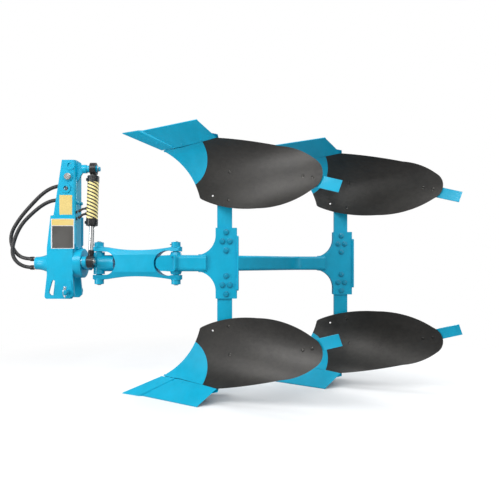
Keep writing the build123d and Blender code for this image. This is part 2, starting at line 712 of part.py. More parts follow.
def plate_half_outline(tube):
    """Upper half of a bracket plate about the leg's middle line, with its concave front."""
    with BuildSketch(side_plane(0, FRONT_LEG_X)) as half:
        with BuildLine():
            sweep_in = RadiusArc(
                (PLATE_ROOT, tube / 2), (PLATE_FRONT, PLATE_ARC_TOP), tube / 2 - PLATE_ARC_TOP - 6
            )
            Polyline(sweep_in @ 1, (PLATE_FRONT, PLATE_HALF), (PLATE_REAR, PLATE_HALF),
                     (PLATE_REAR, 0), (PLATE_ROOT, 0), sweep_in @ 0)
        make_face()
    return half.sketch


for bracket in BRACKETS:
    leg_y = FRONT_LEG_Y + bracket.across
    near = Pos(0, leg_y - LEG_THICK / 2, 0)
    far = Pos(0, leg_y + LEG_THICK / 2 + PLATE_THICK, 0)
    half_outline = Pos(bracket.back, 0, 0) * plate_half_outline(bracket.tube)
    with BuildPart() as bracket_plates:
        for place in (near, far):
            extrude(place * half_outline, amount=PLATE_THICK)
        mirror(about=Plane.XY)
    pieces[f"{bracket.name}_bracket_plates"] = bracket_plates

with BuildPart() as bracket_straps:
    for bracket in BRACKETS:
        with BuildSketch(Plane.YZ.offset(FRONT_LEG_X + bracket.back + PLATE_REAR)):
            with Locations((FRONT_LEG_Y + bracket.across + (STRAP_NEAR + STRAP_FAR) / 2, 0)):
                RectangleRounded(STRAP_FAR - STRAP_NEAR, 2 * STRAP_HALF, 8)
        extrude(amount=STRAP_THICK)
pieces["bracket_straps"] = bracket_straps


def tube_section(start, heading, size, corner):
    """Rounded square across a heading, with its sides upright."""
    level = Vector(heading.Y, -heading.X, 0).normalized()
    with BuildSketch(Plane(origin=start, x_dir=level, z_dir=heading)) as section:
        RectangleRounded(size, size, corner)
    return section.sketch


def slots_for(leg_x, leg_y, size):
    """The two plates' room in a tube's end."""
    with BuildPart() as slots:
        with BuildSketch(Plane.XY.offset(-size)):
            for y in (leg_y - (LEG_THICK + PLATE_THICK) / 2, leg_y + (LEG_THICK + PLATE_THICK) / 2):
                with Locations((leg_x + (PLATE_ROOT + TUBE_END) / 2, y)):
                    Rectangle(TUBE_END - PLATE_ROOT + 2 * SEAT_GAP, PLATE_THICK + 2 * SEAT_GAP)
        extrude(amount=2 * size)
    return slots.part


# Neck: a bent tube whose bend carries the rear pin of the linkage
bend_x = FRONT_LEG_X + BODY_SPACING - BEAM_BEND_BACK
strap_x = FRONT_LEG_X + PLATE_REAR + STRAP_THICK
beam_heading = Vector(bend_x - strap_x, FRONT_LEG_Y + BODY_STAGGER - BEAM_START_Y, 0).normalized()
rear_pin = Vector(REAR_PIN_X, REAR_PIN_Y, 0)
neck_end = Vector(FRONT_LEG_X + TUBE_END, REAR_PIN_Y, 0)
with BuildPart() as neck:
    with BuildLine() as neck_path:
        Polyline(rear_pin - beam_heading * NECK_STUB, rear_pin, neck_end)
    sweep(tube_section(rear_pin - beam_heading * NECK_STUB, beam_heading, NECK_TUBE, NECK_CORNER_R),
          path=neck_path.line, transition=Transition.RIGHT)
    sweep(tube_section(rear_pin - beam_heading * NECK_STUB, beam_heading,
                       NECK_TUBE - 2 * TUBE_WALL, NECK_CORNER_R - TUBE_WALL),
          path=neck_path.line, transition=Transition.RIGHT, mode=Mode.SUBTRACT)
    with BuildSketch(Plane.XY.offset(-NECK_TUBE / 2)):
        with Locations((REAR_PIN_X, REAR_PIN_Y)):
            Circle(NECK_BOSS_R)
    extrude(amount=NECK_TUBE)
    for level, turn in ((NECK_TUBE / 2, 1), (-NECK_TUBE / 2, -1)):
        with BuildSketch(Plane.XY.offset(level)):
            with Locations((REAR_PIN_X, REAR_PIN_Y)):
                Circle(NECK_BOSS_R)
        with BuildSketch(Plane.XY.offset(turn * NECK_BOSS_HALF)):
            with Locations((REAR_PIN_X, REAR_PIN_Y)):
                Circle(NECK_BOSS_TOP_R)
        loft()
    for z in (STAY_LUG_IN, -STAY_LUG_IN - STAY_LUG):
        with BuildSketch(Plane.XY.offset(z)):
            with Locations(stay_rear):
                Circle(STAY_LUG_R)
            with Locations((stay_rear[0], REAR_PIN_Y + NECK_TUBE / 2 - TUBE_WALL / 2)):
                Rectangle(2 * STAY_LUG_R, TUBE_WALL)
            make_hull()
        extrude(amount=STAY_LUG)
    nose_end = REAR_PIN_X - LINK_REAR_WEB + NOSE_GAP
    with BuildSketch(side_plane(REAR_PIN_Y + NECK_NOSE_HALF)):
        Polygon(
            (REAR_PIN_X, NECK_TUBE / 2), (nose_end + 28, NECK_TUBE / 2 - 2), (nose_end + 7, 26),
            (nose_end, 12), (nose_end, -12), (nose_end + 7, -26),
            (nose_end + 28, 2 - NECK_TUBE / 2), (REAR_PIN_X, -NECK_TUBE / 2), align=None,
        )
    extrude(amount=2 * NECK_NOSE_HALF)
    with BuildSketch(Plane.XY.offset(-2 * NECK_BOSS_HALF)):
        with Locations((REAR_PIN_X, REAR_PIN_Y)):
            Circle(LINK_PIN_R + RUN_GAP)
        with Locations(stay_rear):
            Circle(STAY_PIN_R + BORE_GAP)
    extrude(amount=4 * NECK_BOSS_HALF, mode=Mode.SUBTRACT)
    add(slots_for(FRONT_LEG_X, FRONT_LEG_Y, NECK_TUBE), mode=Mode.SUBTRACT)
pieces["neck"] = neck

# Rear beam: from the front strap to the rear bracket, with one bend
rear_leg_x = FRONT_LEG_X + BODY_SPACING
rear_leg_y = FRONT_LEG_Y + BODY_STAGGER
beam_start = Vector(strap_x, BEAM_START_Y, 0) - beam_heading * BEAM_TUBE
bend = Vector(bend_x, rear_leg_y, 0)
beam_end = Vector(rear_leg_x + TUBE_END, rear_leg_y, 0)
with BuildPart() as rear_beam:
    with BuildLine() as beam_path:
        FilletPolyline(beam_start, bend, beam_end, radius=BEAM_BEND_R)
    sweep(tube_section(beam_start, beam_heading, BEAM_TUBE, BEAM_CORNER_R), path=beam_path.line)
    sweep(tube_section(beam_start, beam_heading, BEAM_TUBE - 2 * TUBE_WALL,
                       BEAM_CORNER_R - TUBE_WALL), path=beam_path.line, mode=Mode.SUBTRACT)
    split(bisect_by=Plane.YZ.offset(strap_x), keep=Keep.TOP)
    add(slots_for(rear_leg_x, rear_leg_y, BEAM_TUBE), mode=Mode.SUBTRACT)
pieces["rear_beam"] = rear_beam


def strip(station, front, rear, body, foot=SURFACE_FOOT):
    """Section of a plate on the working surface, from front to rear behind its face."""
    slope = radians(SURFACE_SLOPE)
    tangent = Vector(station.x, FLOOR + TANGENT_Z)
    centre = tangent + Vector(-sin(slope), cos(slope)) * station.radius
    top = asin((FLOOR + SURFACE_TOP - centre.Y) / station.radius)
    rise = Vector(cos(slope), sin(slope))
    down = Vector(sin(slope), -cos(slope))
    foot_run = (TANGENT_Z - foot) / sin(slope)
    corners = []
    plane = side_plane(LAND_Y + body.across - station.out, body.back)
    with BuildSketch(plane) as section:
        with BuildLine():
            for depth in (front, rear):
                bend_in = tangent + down * depth
                arc = CenterArc(centre, station.radius + depth, SURFACE_SLOPE - 90,
                                degrees(top) + 90 - SURFACE_SLOPE)
                line = Line(bend_in - rise * foot_run, bend_in)
                corners.append((line @ 0, arc @ 1))
            Line(corners[0][0], corners[1][0])
            Line(corners[0][1], corners[1][1])
        make_face()
    return section.sketch


def surface_sections(front, rear, body, foot=SURFACE_FOOT):
    """The two sections that a plate is lofted through, at the shin and past the tail."""
    return [strip(station, front, rear, body, foot) for station in (SHIN_STATION, TAIL_STATION)]


def floor_point(x, height):
    """A point of a side outline from its height above the floor."""
    return (x, FLOOR + height)


def cut_plane(body):
    """Side plane behind a body, from which its outlines are cut through."""
    return side_plane(LAND_Y + body.across + 1, body.back)


# Landmarks of the side outlines, as distance along the plough and height above the floor
SEAM_START = floor_point(-420, 95)
SEAM_FRONT = floor_point(-366, 94)
SEAM_MIDDLE = floor_point(-243, 88)
SEAM_REAR = floor_point(-166, 82)
CROWN_HOLE = floor_point(-198, 353)
SHIN_TOP = floor_point(-299, 285)
SHIN_BULGE = floor_point(-222, 172)


def mouldboard_outline(body):
    """Side outline of a mouldboard: the shin's hollow, the crown, the tail and the bottom edge."""
    with BuildSketch(cut_plane(body)) as outline:
        with BuildLine():
            Polyline(
                (SEAM_REAR[0], SEAM_REAR[1] + SEAM), (SEAM_MIDDLE[0], SEAM_MIDDLE[1] + SEAM)
            )
            ThreePointArc((SEAM_MIDDLE[0], SEAM_MIDDLE[1] + SEAM), SHIN_BULGE, SHIN_TOP)
            ThreePointArc(SHIN_TOP, floor_point(-292, 332), floor_point(-262, 366))
            ThreePointArc(floor_point(-262, 366), floor_point(-112, 423), floor_point(40, 441))
            ThreePointArc(floor_point(40, 441), floor_point(185, 425), floor_point(292, 372))
            ThreePointArc(floor_point(292, 372), floor_point(336, 303), floor_point(306, 238))
            ThreePointArc(floor_point(306, 238), floor_point(250, 196), floor_point(150, 158))
            ThreePointArc(floor_point(150, 158), floor_point(0, 116), (SEAM_REAR[0], SEAM_REAR[1] + SEAM))
        make_face()
        with Locations(CROWN_HOLE):
            Circle(CROWN_HOLE_R, mode=Mode.SUBTRACT)
    return outline.sketch


def shin_outline(body):
    """Side outline of a shin, open past its leading edge."""
    with BuildSketch(cut_plane(body)) as outline:
        with BuildLine():
            Polyline(
                (SHIN_TOP[0] - SEAM, SHIN_TOP[1]), floor_point(-540, 300), floor_point(-540, 99),
                floor_point(-366, 97), (SEAM_MIDDLE[0] - SEAM, SEAM_MIDDLE[1] + SEAM),
            )
            ThreePointArc(
                (SEAM_MIDDLE[0] - SEAM, SEAM_MIDDLE[1] + SEAM), (SHIN_BULGE[0] - SEAM, SHIN_BULGE[1]),
                (SHIN_TOP[0] - SEAM, SHIN_TOP[1]),
            )
        make_face()
    return outline.sketch


def share_outline(body):
    """Side outline of a share, from its wing to the point."""
    with BuildSketch(cut_plane(body)) as outline:
        Polygon(
            floor_point(-620, 0), SEAM_START, SEAM_FRONT, SEAM_MIDDLE, SEAM_REAR,
            floor_point(-256, 8), floor_point(-262, 0), align=None,
        )
    return outline.sketch


def point_section(out, tip, top_x, body):
    """Section of the point bar on a side plane."""
    slope = tan(radians(SURFACE_SLOPE))
    edge_x = SHIN_STATION.x + out * (TAIL_STATION.x - SHIN_STATION.x) / TAIL_STATION.out
    edge_x = edge_x - TANGENT_Z / slope
    behind = SHARE_THICK / sin(radians(SURFACE_SLOPE))
    with BuildSketch(side_plane(LAND_Y + body.across - out, body.back)) as section:
        Polygon(
            floor_point(tip, 0), floor_point(tip + POINT_LIP, POINT_LIP),
            floor_point(top_x, POINT_TOP_Z),
            floor_point(edge_x + behind + (POINT_TOP_Z - 10) / slope, POINT_TOP_Z - 10),
            floor_point(edge_x + behind, 0), align=None,
        )
    return section.sketch


for body in BODIES:
    with BuildPart() as mouldboard:
        loft(sections=surface_sections(0, MOULD_THICK, body))
        extrude(mouldboard_outline(body), amount=SIDE_REACH, mode=Mode.INTERSECT)
        if body.upper:
            mirror(about=Plane.XY, mode=Mode.REPLACE)
    pieces[f"{body.name}_mouldboard"] = mouldboard

    with BuildPart() as shin:
        loft(sections=surface_sections(0, MOULD_THICK, body))
        extrude(shin_outline(body), amount=SIDE_REACH, mode=Mode.INTERSECT)
        if body.upper:
            mirror(about=Plane.XY, mode=Mode.REPLACE)
    pieces[f"{body.name}_shin"] = shin

    with BuildPart() as share:
        loft(sections=surface_sections(0, SHARE_THICK, body))
        extrude(share_outline(body), amount=SIDE_REACH, mode=Mode.INTERSECT)
        split(bisect_by=side_plane(LAND_Y + body.across - POINT_WIDTH - SEAM), keep=Keep.TOP)
        if body.upper:
            mirror(about=Plane.XY, mode=Mode.REPLACE)
    pieces[f"{body.name}_share"] = share

    with BuildPart() as point:
        loft(sections=[
            point_section(0.0, POINT_TIP_X, POINT_TOP_X, body),
            point_section(POINT_WIDTH, POINT_TIP_X + POINT_RAKE, POINT_TOP_X + POINT_SKEW, body),
        ])
        if body.upper:
            mirror(about=Plane.XY, mode=Mode.REPLACE)
    pieces[f"{body.name}_point"] = point

    with BuildPart() as frog_pad:
        loft(sections=surface_sections(SHARE_THICK + SEAT_GAP, SHARE_THICK + FROG_THICK, body, 20))
        with BuildSketch(cut_plane(body)):
            Polygon(
                floor_point(-590, 12), floor_point(-330, 270), floor_point(-236, 250),
                floor_point(-190, 170), floor_point(-150, 110), floor_point(-160, 66),
                floor_point(-290, 30), floor_point(-420, 20), align=None,
            )
        extrude(amount=SIDE_REACH, mode=Mode.INTERSECT)
        with BuildSketch(Plane.XZ.offset(-LAND_Y - body.across)):
            Rectangle(4 * SIDE_REACH, 4 * SIDE_REACH)
        extrude(amount=LANDSIDE_THICK, mode=Mode.SUBTRACT)

    with BuildPart() as frog:
        with BuildSketch(side_plane(LAND_Y + body.across - LANDSIDE_THICK, body.back)):
            Polygon(
                floor_point(-556, 14), floor_point(-330, 270), floor_point(-174, WEB_TOP),
                floor_point(-94, WEB_TOP), floor_point(-94, 76), floor_point(-178, 62),
                floor_point(-218, 20), align=None,
            )
        extrude(amount=WEB_THICK)
        loft(sections=surface_sections(SHARE_THICK + SEAT_GAP, 500, body), mode=Mode.INTERSECT)
        add(frog_pad.part)
        if body.upper:
            mirror(about=Plane.XY, mode=Mode.REPLACE)
    pieces[f"{body.name}_frog"] = frog

    leg_y = FRONT_LEG_Y + body.across
    with BuildPart() as leg:
        with BuildSketch(side_plane(leg_y + LEG_THICK / 2, body.back)):
            with Locations((FRONT_LEG_X, -(LEG_INNER + LEG_OUTER) / 2)):
                Rectangle(LEG_WIDTH, LEG_OUTER - LEG_INNER)
        extrude(amount=LEG_THICK)
        if body.upper:
            mirror(about=Plane.XY, mode=Mode.REPLACE)
    pieces[f"{body.name}_leg"] = leg

for row, body in (("front", BODIES[0]), ("rear", BODIES[2])):
    with BuildPart() as landsides:
        with BuildSketch(side_plane(LAND_Y + body.across, body.back)):
            Polygon(
                floor_point(-584, 0), floor_point(-408, LANDSIDE_HEIGHT - 2),
                floor_point(LANDSIDE_HEEL_X + LANDSIDE_HEEL_LEAN, LANDSIDE_HEIGHT),
                floor_point(LANDSIDE_HEEL_X, 0), align=None,
            )
        extrude(amount=LANDSIDE_THICK)
        mirror(about=Plane.XY)
    pieces[f"{row}_landsides"] = landsides

    with BuildPart() as tail_bars:
        loft(sections=surface_sections(MOULD_THICK + SEAT_GAP, MOULD_THICK + 11, body))
        with BuildSketch(cut_plane(body)):
            Polygon(
                floor_point(205, 262), floor_point(417, 345), floor_point(399, 398),
                floor_point(187, 315), align=None,
            )
        extrude(amount=SIDE_REACH, mode=Mode.INTERSECT)
        mirror(about=Plane.XY)
    pieces[f"{row}_tail_bars"] = tail_bars

# Bulkhead inside the tower with the two fittings, and the two fittings on the nose
with BuildPart() as hose_bulkhead:
    with BuildSketch(Plane.YZ.offset(BULKHEAD_X)):
        with Locations(((8 + inner_half) / 2, 391)):
            Rectangle(inner_half - 8, 118)
    extrude(amount=8)
    for route in (OUTER_HOSE, INNER_HOSE):
        start = route[0]
        with BuildSketch(Plane.YZ.offset(start[0])):
            with Locations((start[1], start[2])):
                RegularPolygon(FITTING_R, 6)
        extrude(amount=BULKHEAD_X - start[0])
pieces["hose_bulkhead"] = hose_bulkhead

with BuildPart() as nose_fittings:
    for route in (OUTER_HOSE, INNER_HOSE):
        finish = route[-1]
        with BuildSketch(Plane.YZ.offset(finish[0])):
            with Locations((finish[1], finish[2])):
                RegularPolygon(FITTING_R, 6)
        extrude(amount=NOSE_TIP_X - finish[0])
pieces["nose_fittings"] = nose_fittings


def corner_radii(route):
    """Radius of each corner of a hose: 0.45 of its shorter run over the tangent of half its turn."""
    radii = []
    for before, at, after in zip(route, route[1:], route[2:]):
        run_in = Vector(*at) - Vector(*before)
        run_out = Vector(*after) - Vector(*at)
        turn = radians(run_in.get_angle(run_out))
        radii.append(0.45 * min(run_in.length, run_out.length) / tan(turn / 2))
    return radii


for hose_name, route in (("hose_outer", OUTER_HOSE), ("hose_inner", INNER_HOSE)):
    radii = corner_radii(route)
    print(hose_name, "radii", [round(r) for r in radii])
    with BuildPart() as hose:
        with BuildLine() as path:
            FilletPolyline(*route, radius=radii)
        with BuildSketch(Plane(origin=path.line @ 0, z_dir=path.line % 0)):
            Circle(HOSE_R)
        sweep()
    length = path.wires()[0].length
    ratio = hose.part.volume / (pi * HOSE_R**2 * length)
    print(hose_name, "length", round(length), "volume over section times length", round(ratio, 4))
    cords[hose_name] = hose

# Set the plough on the floor, centred over the origin
whole = Compound([piece.part for piece in pieces.values()]).bounding_box()
to_origin = Location((-whole.center().X, -whole.center().Y, -whole.min.Z))
print("origin shift", [round(v, 3) for v in to_origin.position])
for node, piece in {**pieces, **cords}.items():
    piece.part.move(to_origin)
    piece.part.label = node
    export_step(piece.part, f"parts/{node}.step")
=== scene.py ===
"""Looks of the two-furrow reversible plough: finishes, fasteners, welds, hoses and a light studio."""

import logging
import math
from dataclasses import dataclass, field
from enum import Enum
from typing import Iterable, Sequence

import bmesh
import bpy
from mathutils import Matrix, Vector
from mathutils.bvhtree import BVHTree

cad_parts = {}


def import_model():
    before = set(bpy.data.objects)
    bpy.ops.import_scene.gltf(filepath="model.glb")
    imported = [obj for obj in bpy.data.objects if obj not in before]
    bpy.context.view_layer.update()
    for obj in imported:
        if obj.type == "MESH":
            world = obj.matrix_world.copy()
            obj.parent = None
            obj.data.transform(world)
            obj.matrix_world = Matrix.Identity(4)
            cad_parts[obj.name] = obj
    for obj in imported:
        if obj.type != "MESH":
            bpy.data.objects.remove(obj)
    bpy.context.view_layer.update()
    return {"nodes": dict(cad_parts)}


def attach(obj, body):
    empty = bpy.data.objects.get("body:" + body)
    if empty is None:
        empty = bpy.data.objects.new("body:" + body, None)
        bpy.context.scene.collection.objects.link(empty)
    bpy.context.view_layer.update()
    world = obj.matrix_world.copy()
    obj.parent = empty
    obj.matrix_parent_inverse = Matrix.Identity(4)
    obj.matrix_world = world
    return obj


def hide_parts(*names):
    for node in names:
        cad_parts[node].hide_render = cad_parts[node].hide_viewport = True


LOG = logging.getLogger("plough")
MM = 0.001
ORIGIN_SHIFT = Vector((36.5, 56.111, 716.0))
Point = tuple[float, float, float]
Colour = tuple[float, float, float]
TOP_EYE: Point = (-848.0, -25.0, 512.0)
CRANK_EYE: Point = (-848.0, -78.0, 8.0)
FORWARD, REARWARD = Vector((-1, 0, 0)), Vector((1, 0, 0))
NEARWARD, FARWARD = Vector((0, -1, 0)), Vector((0, 1, 0))
UP = Vector((0, 0, 1))


class Body(str, Enum):
    """Moving groups of the plough."""

    HEADSTOCK = "headstock"
    TURNOVER = "turnover"
    BARREL = "barrel"
    ROD = "rod"
    LINK = "link"
    TURNBUCKLE = "turnbuckle"
    FRAME = "frame"


class Slot(str, Enum):
    """Material slots of the record."""

    BLUE = "blue_paint"
    STEEL = "bare_steel"
    PLOUGH = "plough_steel"
    BLACK = "black_paint"
    CHROME = "chrome_rod"
    SLEEVE = "sleeve"
    RUBBER = "hose_rubber"


class Row(Enum):
    """The two pairs of plough bodies, with how far back and across each stands, in mm."""

    FRONT = (0.0, 0.0)
    REAR = (691.0, 373.0)

    @property
    def back(self) -> float:
        """Distance behind the front pair."""
        return self.value[0]

    @property
    def across(self) -> float:
        """Distance to the right of the front pair."""
        return self.value[1]


class Level(Enum):
    """Lower and upper bodies, with the side of the turnover axis that each is on."""

    LOWER = -1
    UPPER = 1


def at(x: float, y: float, z: float) -> Vector:
    """Turns plough millimetres into the shared frame.

    Args:
        x: distance behind the middle of the turnover axis.
        y: distance to the right of it.
        z: height above it.

    Returns:
        The point in metres.
    """
    return (Vector((x, y, z)) + ORIGIN_SHIFT) * MM


def body_name(row: Row, level: Level) -> str:
    """What the names of one plough body's nodes begin with."""
    return f"{row.name.lower()}_{level.name.lower()}"


def linear(red: int, green: int, blue: int) -> Colour:
    """Turns a colour read from a picture into the renderer's own values.

    Args:
        red: 0 to 255.
        green: 0 to 255.
        blue: 0 to 255.

    Returns:
        Three linear values.
    """
    return tuple(
        v / 12.92 if v <= 0.04045 else ((v + 0.055) / 1.055) ** 2.4
        for v in (red / 255, green / 255, blue / 255)
    )


# Shader values


@dataclass(frozen=True)
class Value:
    """A number or vector in a material that takes part in ordinary arithmetic."""

    graph: "Graph"
    socket: bpy.types.NodeSocket

    def _maths(self, operation: str, *others: "Value | float") -> "Value":
        """Adds a Math node that takes this number and the others."""
        return self.graph.value("ShaderNodeMath", {i: v for i, v in enumerate((self, *others))},
                                operation=operation)

    def __add__(self, other: "Value | float") -> "Value":
        """Sum."""
        return self._maths("ADD", other)

    def __sub__(self, other: "Value | float") -> "Value":
        """Difference."""
        return self._maths("SUBTRACT", other)

    def __mul__(self, other: "Value | float") -> "Value":
        """Product."""
        return self._maths("MULTIPLY", other)

    def __truediv__(self, other: "Value | float") -> "Value":
        """Quotient."""
        return self._maths("DIVIDE", other)

    __radd__ = __add__
    __rmul__ = __mul__

    def __rsub__(self, other: float) -> "Value":
        """A plain number minus this one."""
        return (self * -1.0) + other

    def __gt__(self, other: "Value | float") -> "Value":
        """1 where this number is the larger, else 0."""
        return self._maths("GREATER_THAN", other)

    def absolute(self) -> "Value":
        """Size of the number without its sign."""
        return self._maths("ABSOLUTE")

    def fraction(self) -> "Value":
        """What is left after the whole part."""
        return self._maths("FRACT")

    def turn_of(self, other: "Value") -> "Value":
        """Angle of the arrow (other, self), in radians."""
        return self._maths("ARCTAN2", other)

    def ramp(self, low: float, high: float, start: float = 0.0, end: float = 1.0) -> "Value":
        """Smooth climb from one level to another.

        Args:
            low: value where the climb begins.
            high: value where it ends.
            start: level below the climb.
            end: level above it.

        Returns:
            The level.
        """
        return self.graph.value(
            "ShaderNodeMapRange",
            {"Value": self, "From Min": low, "From Max": high, "To Min": start, "To Max": end},
            interpolation_type="SMOOTHSTEP",
        )


class Graph:
    """Node tree of one material, with its principled shader ready."""

    def __init__(self, name: str) -> None:
        """Starts the material.

        Args:
            name: what it is called.
        """
        self.material = bpy.data.materials.new(name)
        self.material.use_nodes = True
        self.tree = self.material.node_tree
        self.tree.nodes.clear()
        self.out = self.tree.nodes.new("ShaderNodeOutputMaterial")
        self.shader = self.tree.nodes.new("ShaderNodeBsdfPrincipled")
        self.tree.links.new(self.shader.outputs["BSDF"], self.out.inputs["Surface"])
        self.coords = self.value("ShaderNodeTexCoord", {}, output="Object")

    def node(self, kind: str, inputs: dict, **settings: object) -> bpy.types.Node:
        """Adds a node.

        Args:
            kind: type of node.
            inputs: socket name or number to a value, number or colour.
            settings: the node's own properties.

        Returns:
            The node.
        """
        made = self.tree.nodes.new(kind)
        for key, setting in settings.items():
            setattr(made, key, setting)
        for key, given in inputs.items():
            if isinstance(given, Value):
                self.tree.links.new(given.socket, made.inputs[key])
            else:
                made.inputs[key].default_value = given
        return made

    def value(self, kind: str, inputs: dict, output: str | int = 0, **settings: object) -> Value:
        """Adds a node and gives one of its outputs."""
        return Value(self, self.node(kind, inputs, **settings).outputs[output])

    def stretched(self, x: float, y: float, z: float) -> Value:
        """Object coordinates with each axis scaled."""
        return self.value("ShaderNodeVectorMath", {0: self.coords, 1: (x, y, z)}, operation="MULTIPLY")

    def along(self, direction: Sequence[float], start: Sequence[float] = (0, 0, 0)) -> Value:
        """Distance along a direction from a start point."""
        moved = self.value("ShaderNodeVectorMath", {0: self.coords, 1: tuple(start)},
                           operation="SUBTRACT")
        return self.value("ShaderNodeVectorMath", {0: moved, 1: tuple(direction)}, output="Value",
                          operation="DOT_PRODUCT")

    def noise(self, scale: float, detail: float = 3.0, rough: float = 0.5,
              where: "Value | None" = None) -> Value:
        """Soft random pattern between 0 and 1."""
        return self.value(
            "ShaderNodeTexNoise",
            {"Vector": where or self.coords, "Scale": scale, "Detail": detail, "Roughness": rough},
        )

    def cells(self, scale: float) -> Value:
        """Distance to the nearest of many scattered points."""
        return self.value("ShaderNodeTexVoronoi", {"Vector": self.coords, "Scale": scale}, feature="F1")

    def blend(self, first: "Value | Colour", second: "Value | Colour", share: "Value | float") -> Value:
        """Mixes two colours.

        Args:
            first: what shows where the share is 0.
            second: what shows where it is 1.
            share: how much of the second shows.

        Returns:
            The mixed colour.
        """
        first = first if isinstance(first, Value) else (*first, 1.0)
        second = second if isinstance(second, Value) else (*second, 1.0)
        return self.value("ShaderNodeMix", {0: share, 6: first, 7: second}, output=2, data_type="RGBA")

    def bump(self, height: Value, depth: float, strength: float = 1.0) -> Value:
        """Surface normal from a height pattern of a given depth in metres."""
        return self.value("ShaderNodeBump", {"Height": height, "Distance": depth, "Strength": strength},
                          output="Normal")

    def cover(self, share: "Value | float", shader: bpy.types.Node, below: bool = False) -> None:
        """Lays another shader over what the material shows so far, or under it.

        Args:
            share: how much of the other shader shows.
            shader: the node that makes it.
            below: puts the other shader where the share is low instead.
        """
        link = self.out.inputs["Surface"].links[0]
        shown, other = link.from_socket, shader.outputs[0]
        mix = self.node("ShaderNodeMixShader", {0: share})
        first, second = (other, shown) if below else (shown, other)
        self.tree.links.new(first, mix.inputs[1])
        self.tree.links.new(second, mix.inputs[2])
        self.tree.links.new(mix.outputs[0], self.out.inputs["Surface"])

    def finish(self, **channels: "Value | float | Colour") -> bpy.types.Material:
        """Feeds the shader's channels.

        Args:
            channels: socket names with underscores, each with a value, number or colour.

        Returns:
            The material.
        """
        for key, given in channels.items():
            socket = self.shader.inputs[key.replace("_", " ").title().replace("Ior", "IOR")]
            if isinstance(given, Value):
                self.tree.links.new(given.socket, socket)
            else:
                socket.default_value = (*given, 1.0) if isinstance(given, tuple) else given
        return self.material


@dataclass(frozen=True)
class Finish:
    """A surface finish. Each kind makes its own material once."""

    name: str
    slot: Slot

    def build(self) -> bpy.types.Material:
        """Makes the material."""
        raise NotImplementedError

    def material(self) -> bpy.types.Material:
        """The finish's material, made the first time it is asked for."""
        found = bpy.data.materials.get(self.name)
        return found or self.build()


@dataclass(frozen=True)
class GlossPaint(Finish):
    """Sprayed machine enamel with faint orange peel, uneven cover, settled dust and small chips."""

    colour: Colour = (0.001, 0.385, 0.595)
    rough: float = 0.34
    chips: float = 0.0
    peel: float = 0.00006
    dust: float = 0.28

    def build(self) -> bpy.types.Material:
        """Makes the enamel.

        Returns:
            The material.
        """
        g = Graph(self.name)
        bare, settled = (0.09, 0.085, 0.08), (0.20, 0.31, 0.34)
        cover = g.noise(3.1, 4.0, 0.55).ramp(0.35, 0.7)
        mottle = g.noise(22.0, 3.0).ramp(0.3, 0.75)
        deep = tuple(c * 0.88 for c in self.colour)
        light = tuple(min(1.0, c * 1.06 + 0.001) for c in self.colour)
        colour = g.blend(deep, light, cover * 0.6 + mottle * 0.4)
        height = g.along((0, 0, 1))
        dust = g.noise(38.0, 6.0, 0.7).ramp(0.48, 0.86) * height.ramp(0.02, 0.75, 0.20, 0.04)
        colour = g.blend(colour, settled, dust * self.dust)
        speck = g.noise(170.0, 2.0).ramp(0.74, 0.78) * g.noise(7.0, 2.0).ramp(0.55, 0.68) * self.chips
        colour = g.blend(colour, bare, speck)
        rough = g.noise(12.0, 4.0).ramp(0.3, 0.7, self.rough - 0.05, self.rough + 0.09) + dust * 0.35
        peel = g.noise(620.0, 2.0) * 0.6 + g.noise(160.0, 2.0) * 0.8 - speck * 2.0
        return g.finish(base_color=colour, roughness=rough, normal=g.bump(peel, self.peel),
                        coat_weight=0.20, coat_roughness=0.14, specular_ior_level=0.28)


@dataclass(frozen=True)
class PloughSteel(Finish):
    """Rolled and tempered plate: dark scale, rolling streaks and a thin clear oil."""

    dark: Colour = (0.020, 0.0185, 0.0165)
    light: Colour = (0.036, 0.033, 0.029)
    streak: Point = (5.0, 60.0, 60.0)
    rough: float = 0.33

    def build(self) -> bpy.types.Material:
        """Makes the plate.

        Returns:
            The material.
        """
        g = Graph(self.name)
        lines = g.noise(1.0, 5.0, 0.6, g.stretched(*self.streak))
        fine = g.noise(1.0, 3.0, 0.7, g.stretched(*(s * 6 for s in self.streak)))
        cloud = g.noise(5.0, 5.0, 0.6).ramp(0.3, 0.72)
        colour = g.blend(self.dark, self.light, cloud * 0.55 + lines.ramp(0.3, 0.7) * 0.45)
        rust = g.noise(26.0, 6.0, 0.75).ramp(0.62, 0.8) * g.noise(4.0, 3.0).ramp(0.45, 0.7)
        colour = g.blend(colour, (0.085, 0.050, 0.030), rust * 0.3)
        rough = fine.ramp(0.25, 0.75, self.rough - 0.07, self.rough + 0.09) + rust * 0.15
        relief = lines * 0.8 + fine * 0.5 + cloud * 0.4
        return g.finish(base_color=colour, roughness=rough, metallic=0.3,
                        normal=g.bump(relief, 0.00012), coat_weight=0.1, coat_roughness=0.32,
                        specular_ior_level=0.4)


@dataclass(frozen=True)
class PlatedSteel(Finish):
    """Zinc-plated or ground steel with a faint spangle."""

    colour: Colour = (0.52, 0.52, 0.50)
    rough: float = 0.34

    def build(self) -> bpy.types.Material:
        """Makes the plating.

        Returns:
            The material.
        """
        g = Graph(self.name)
        spangle = g.cells(240.0).ramp(0.0, 0.9)
        stain = g.noise(60.0, 4.0, 0.6).ramp(0.45, 0.8)
        dull = tuple(c * 0.66 for c in self.colour)
        colour = g.blend(self.colour, dull, spangle * 0.35 + stain * 0.4)
        rough = stain.ramp(0.0, 1.0, self.rough - 0.08, self.rough + 0.16)
        return g.finish(base_color=colour, roughness=rough, metallic=0.92,
                        normal=g.bump(spangle + g.noise(900.0, 2.0) * 0.5, 0.00004))


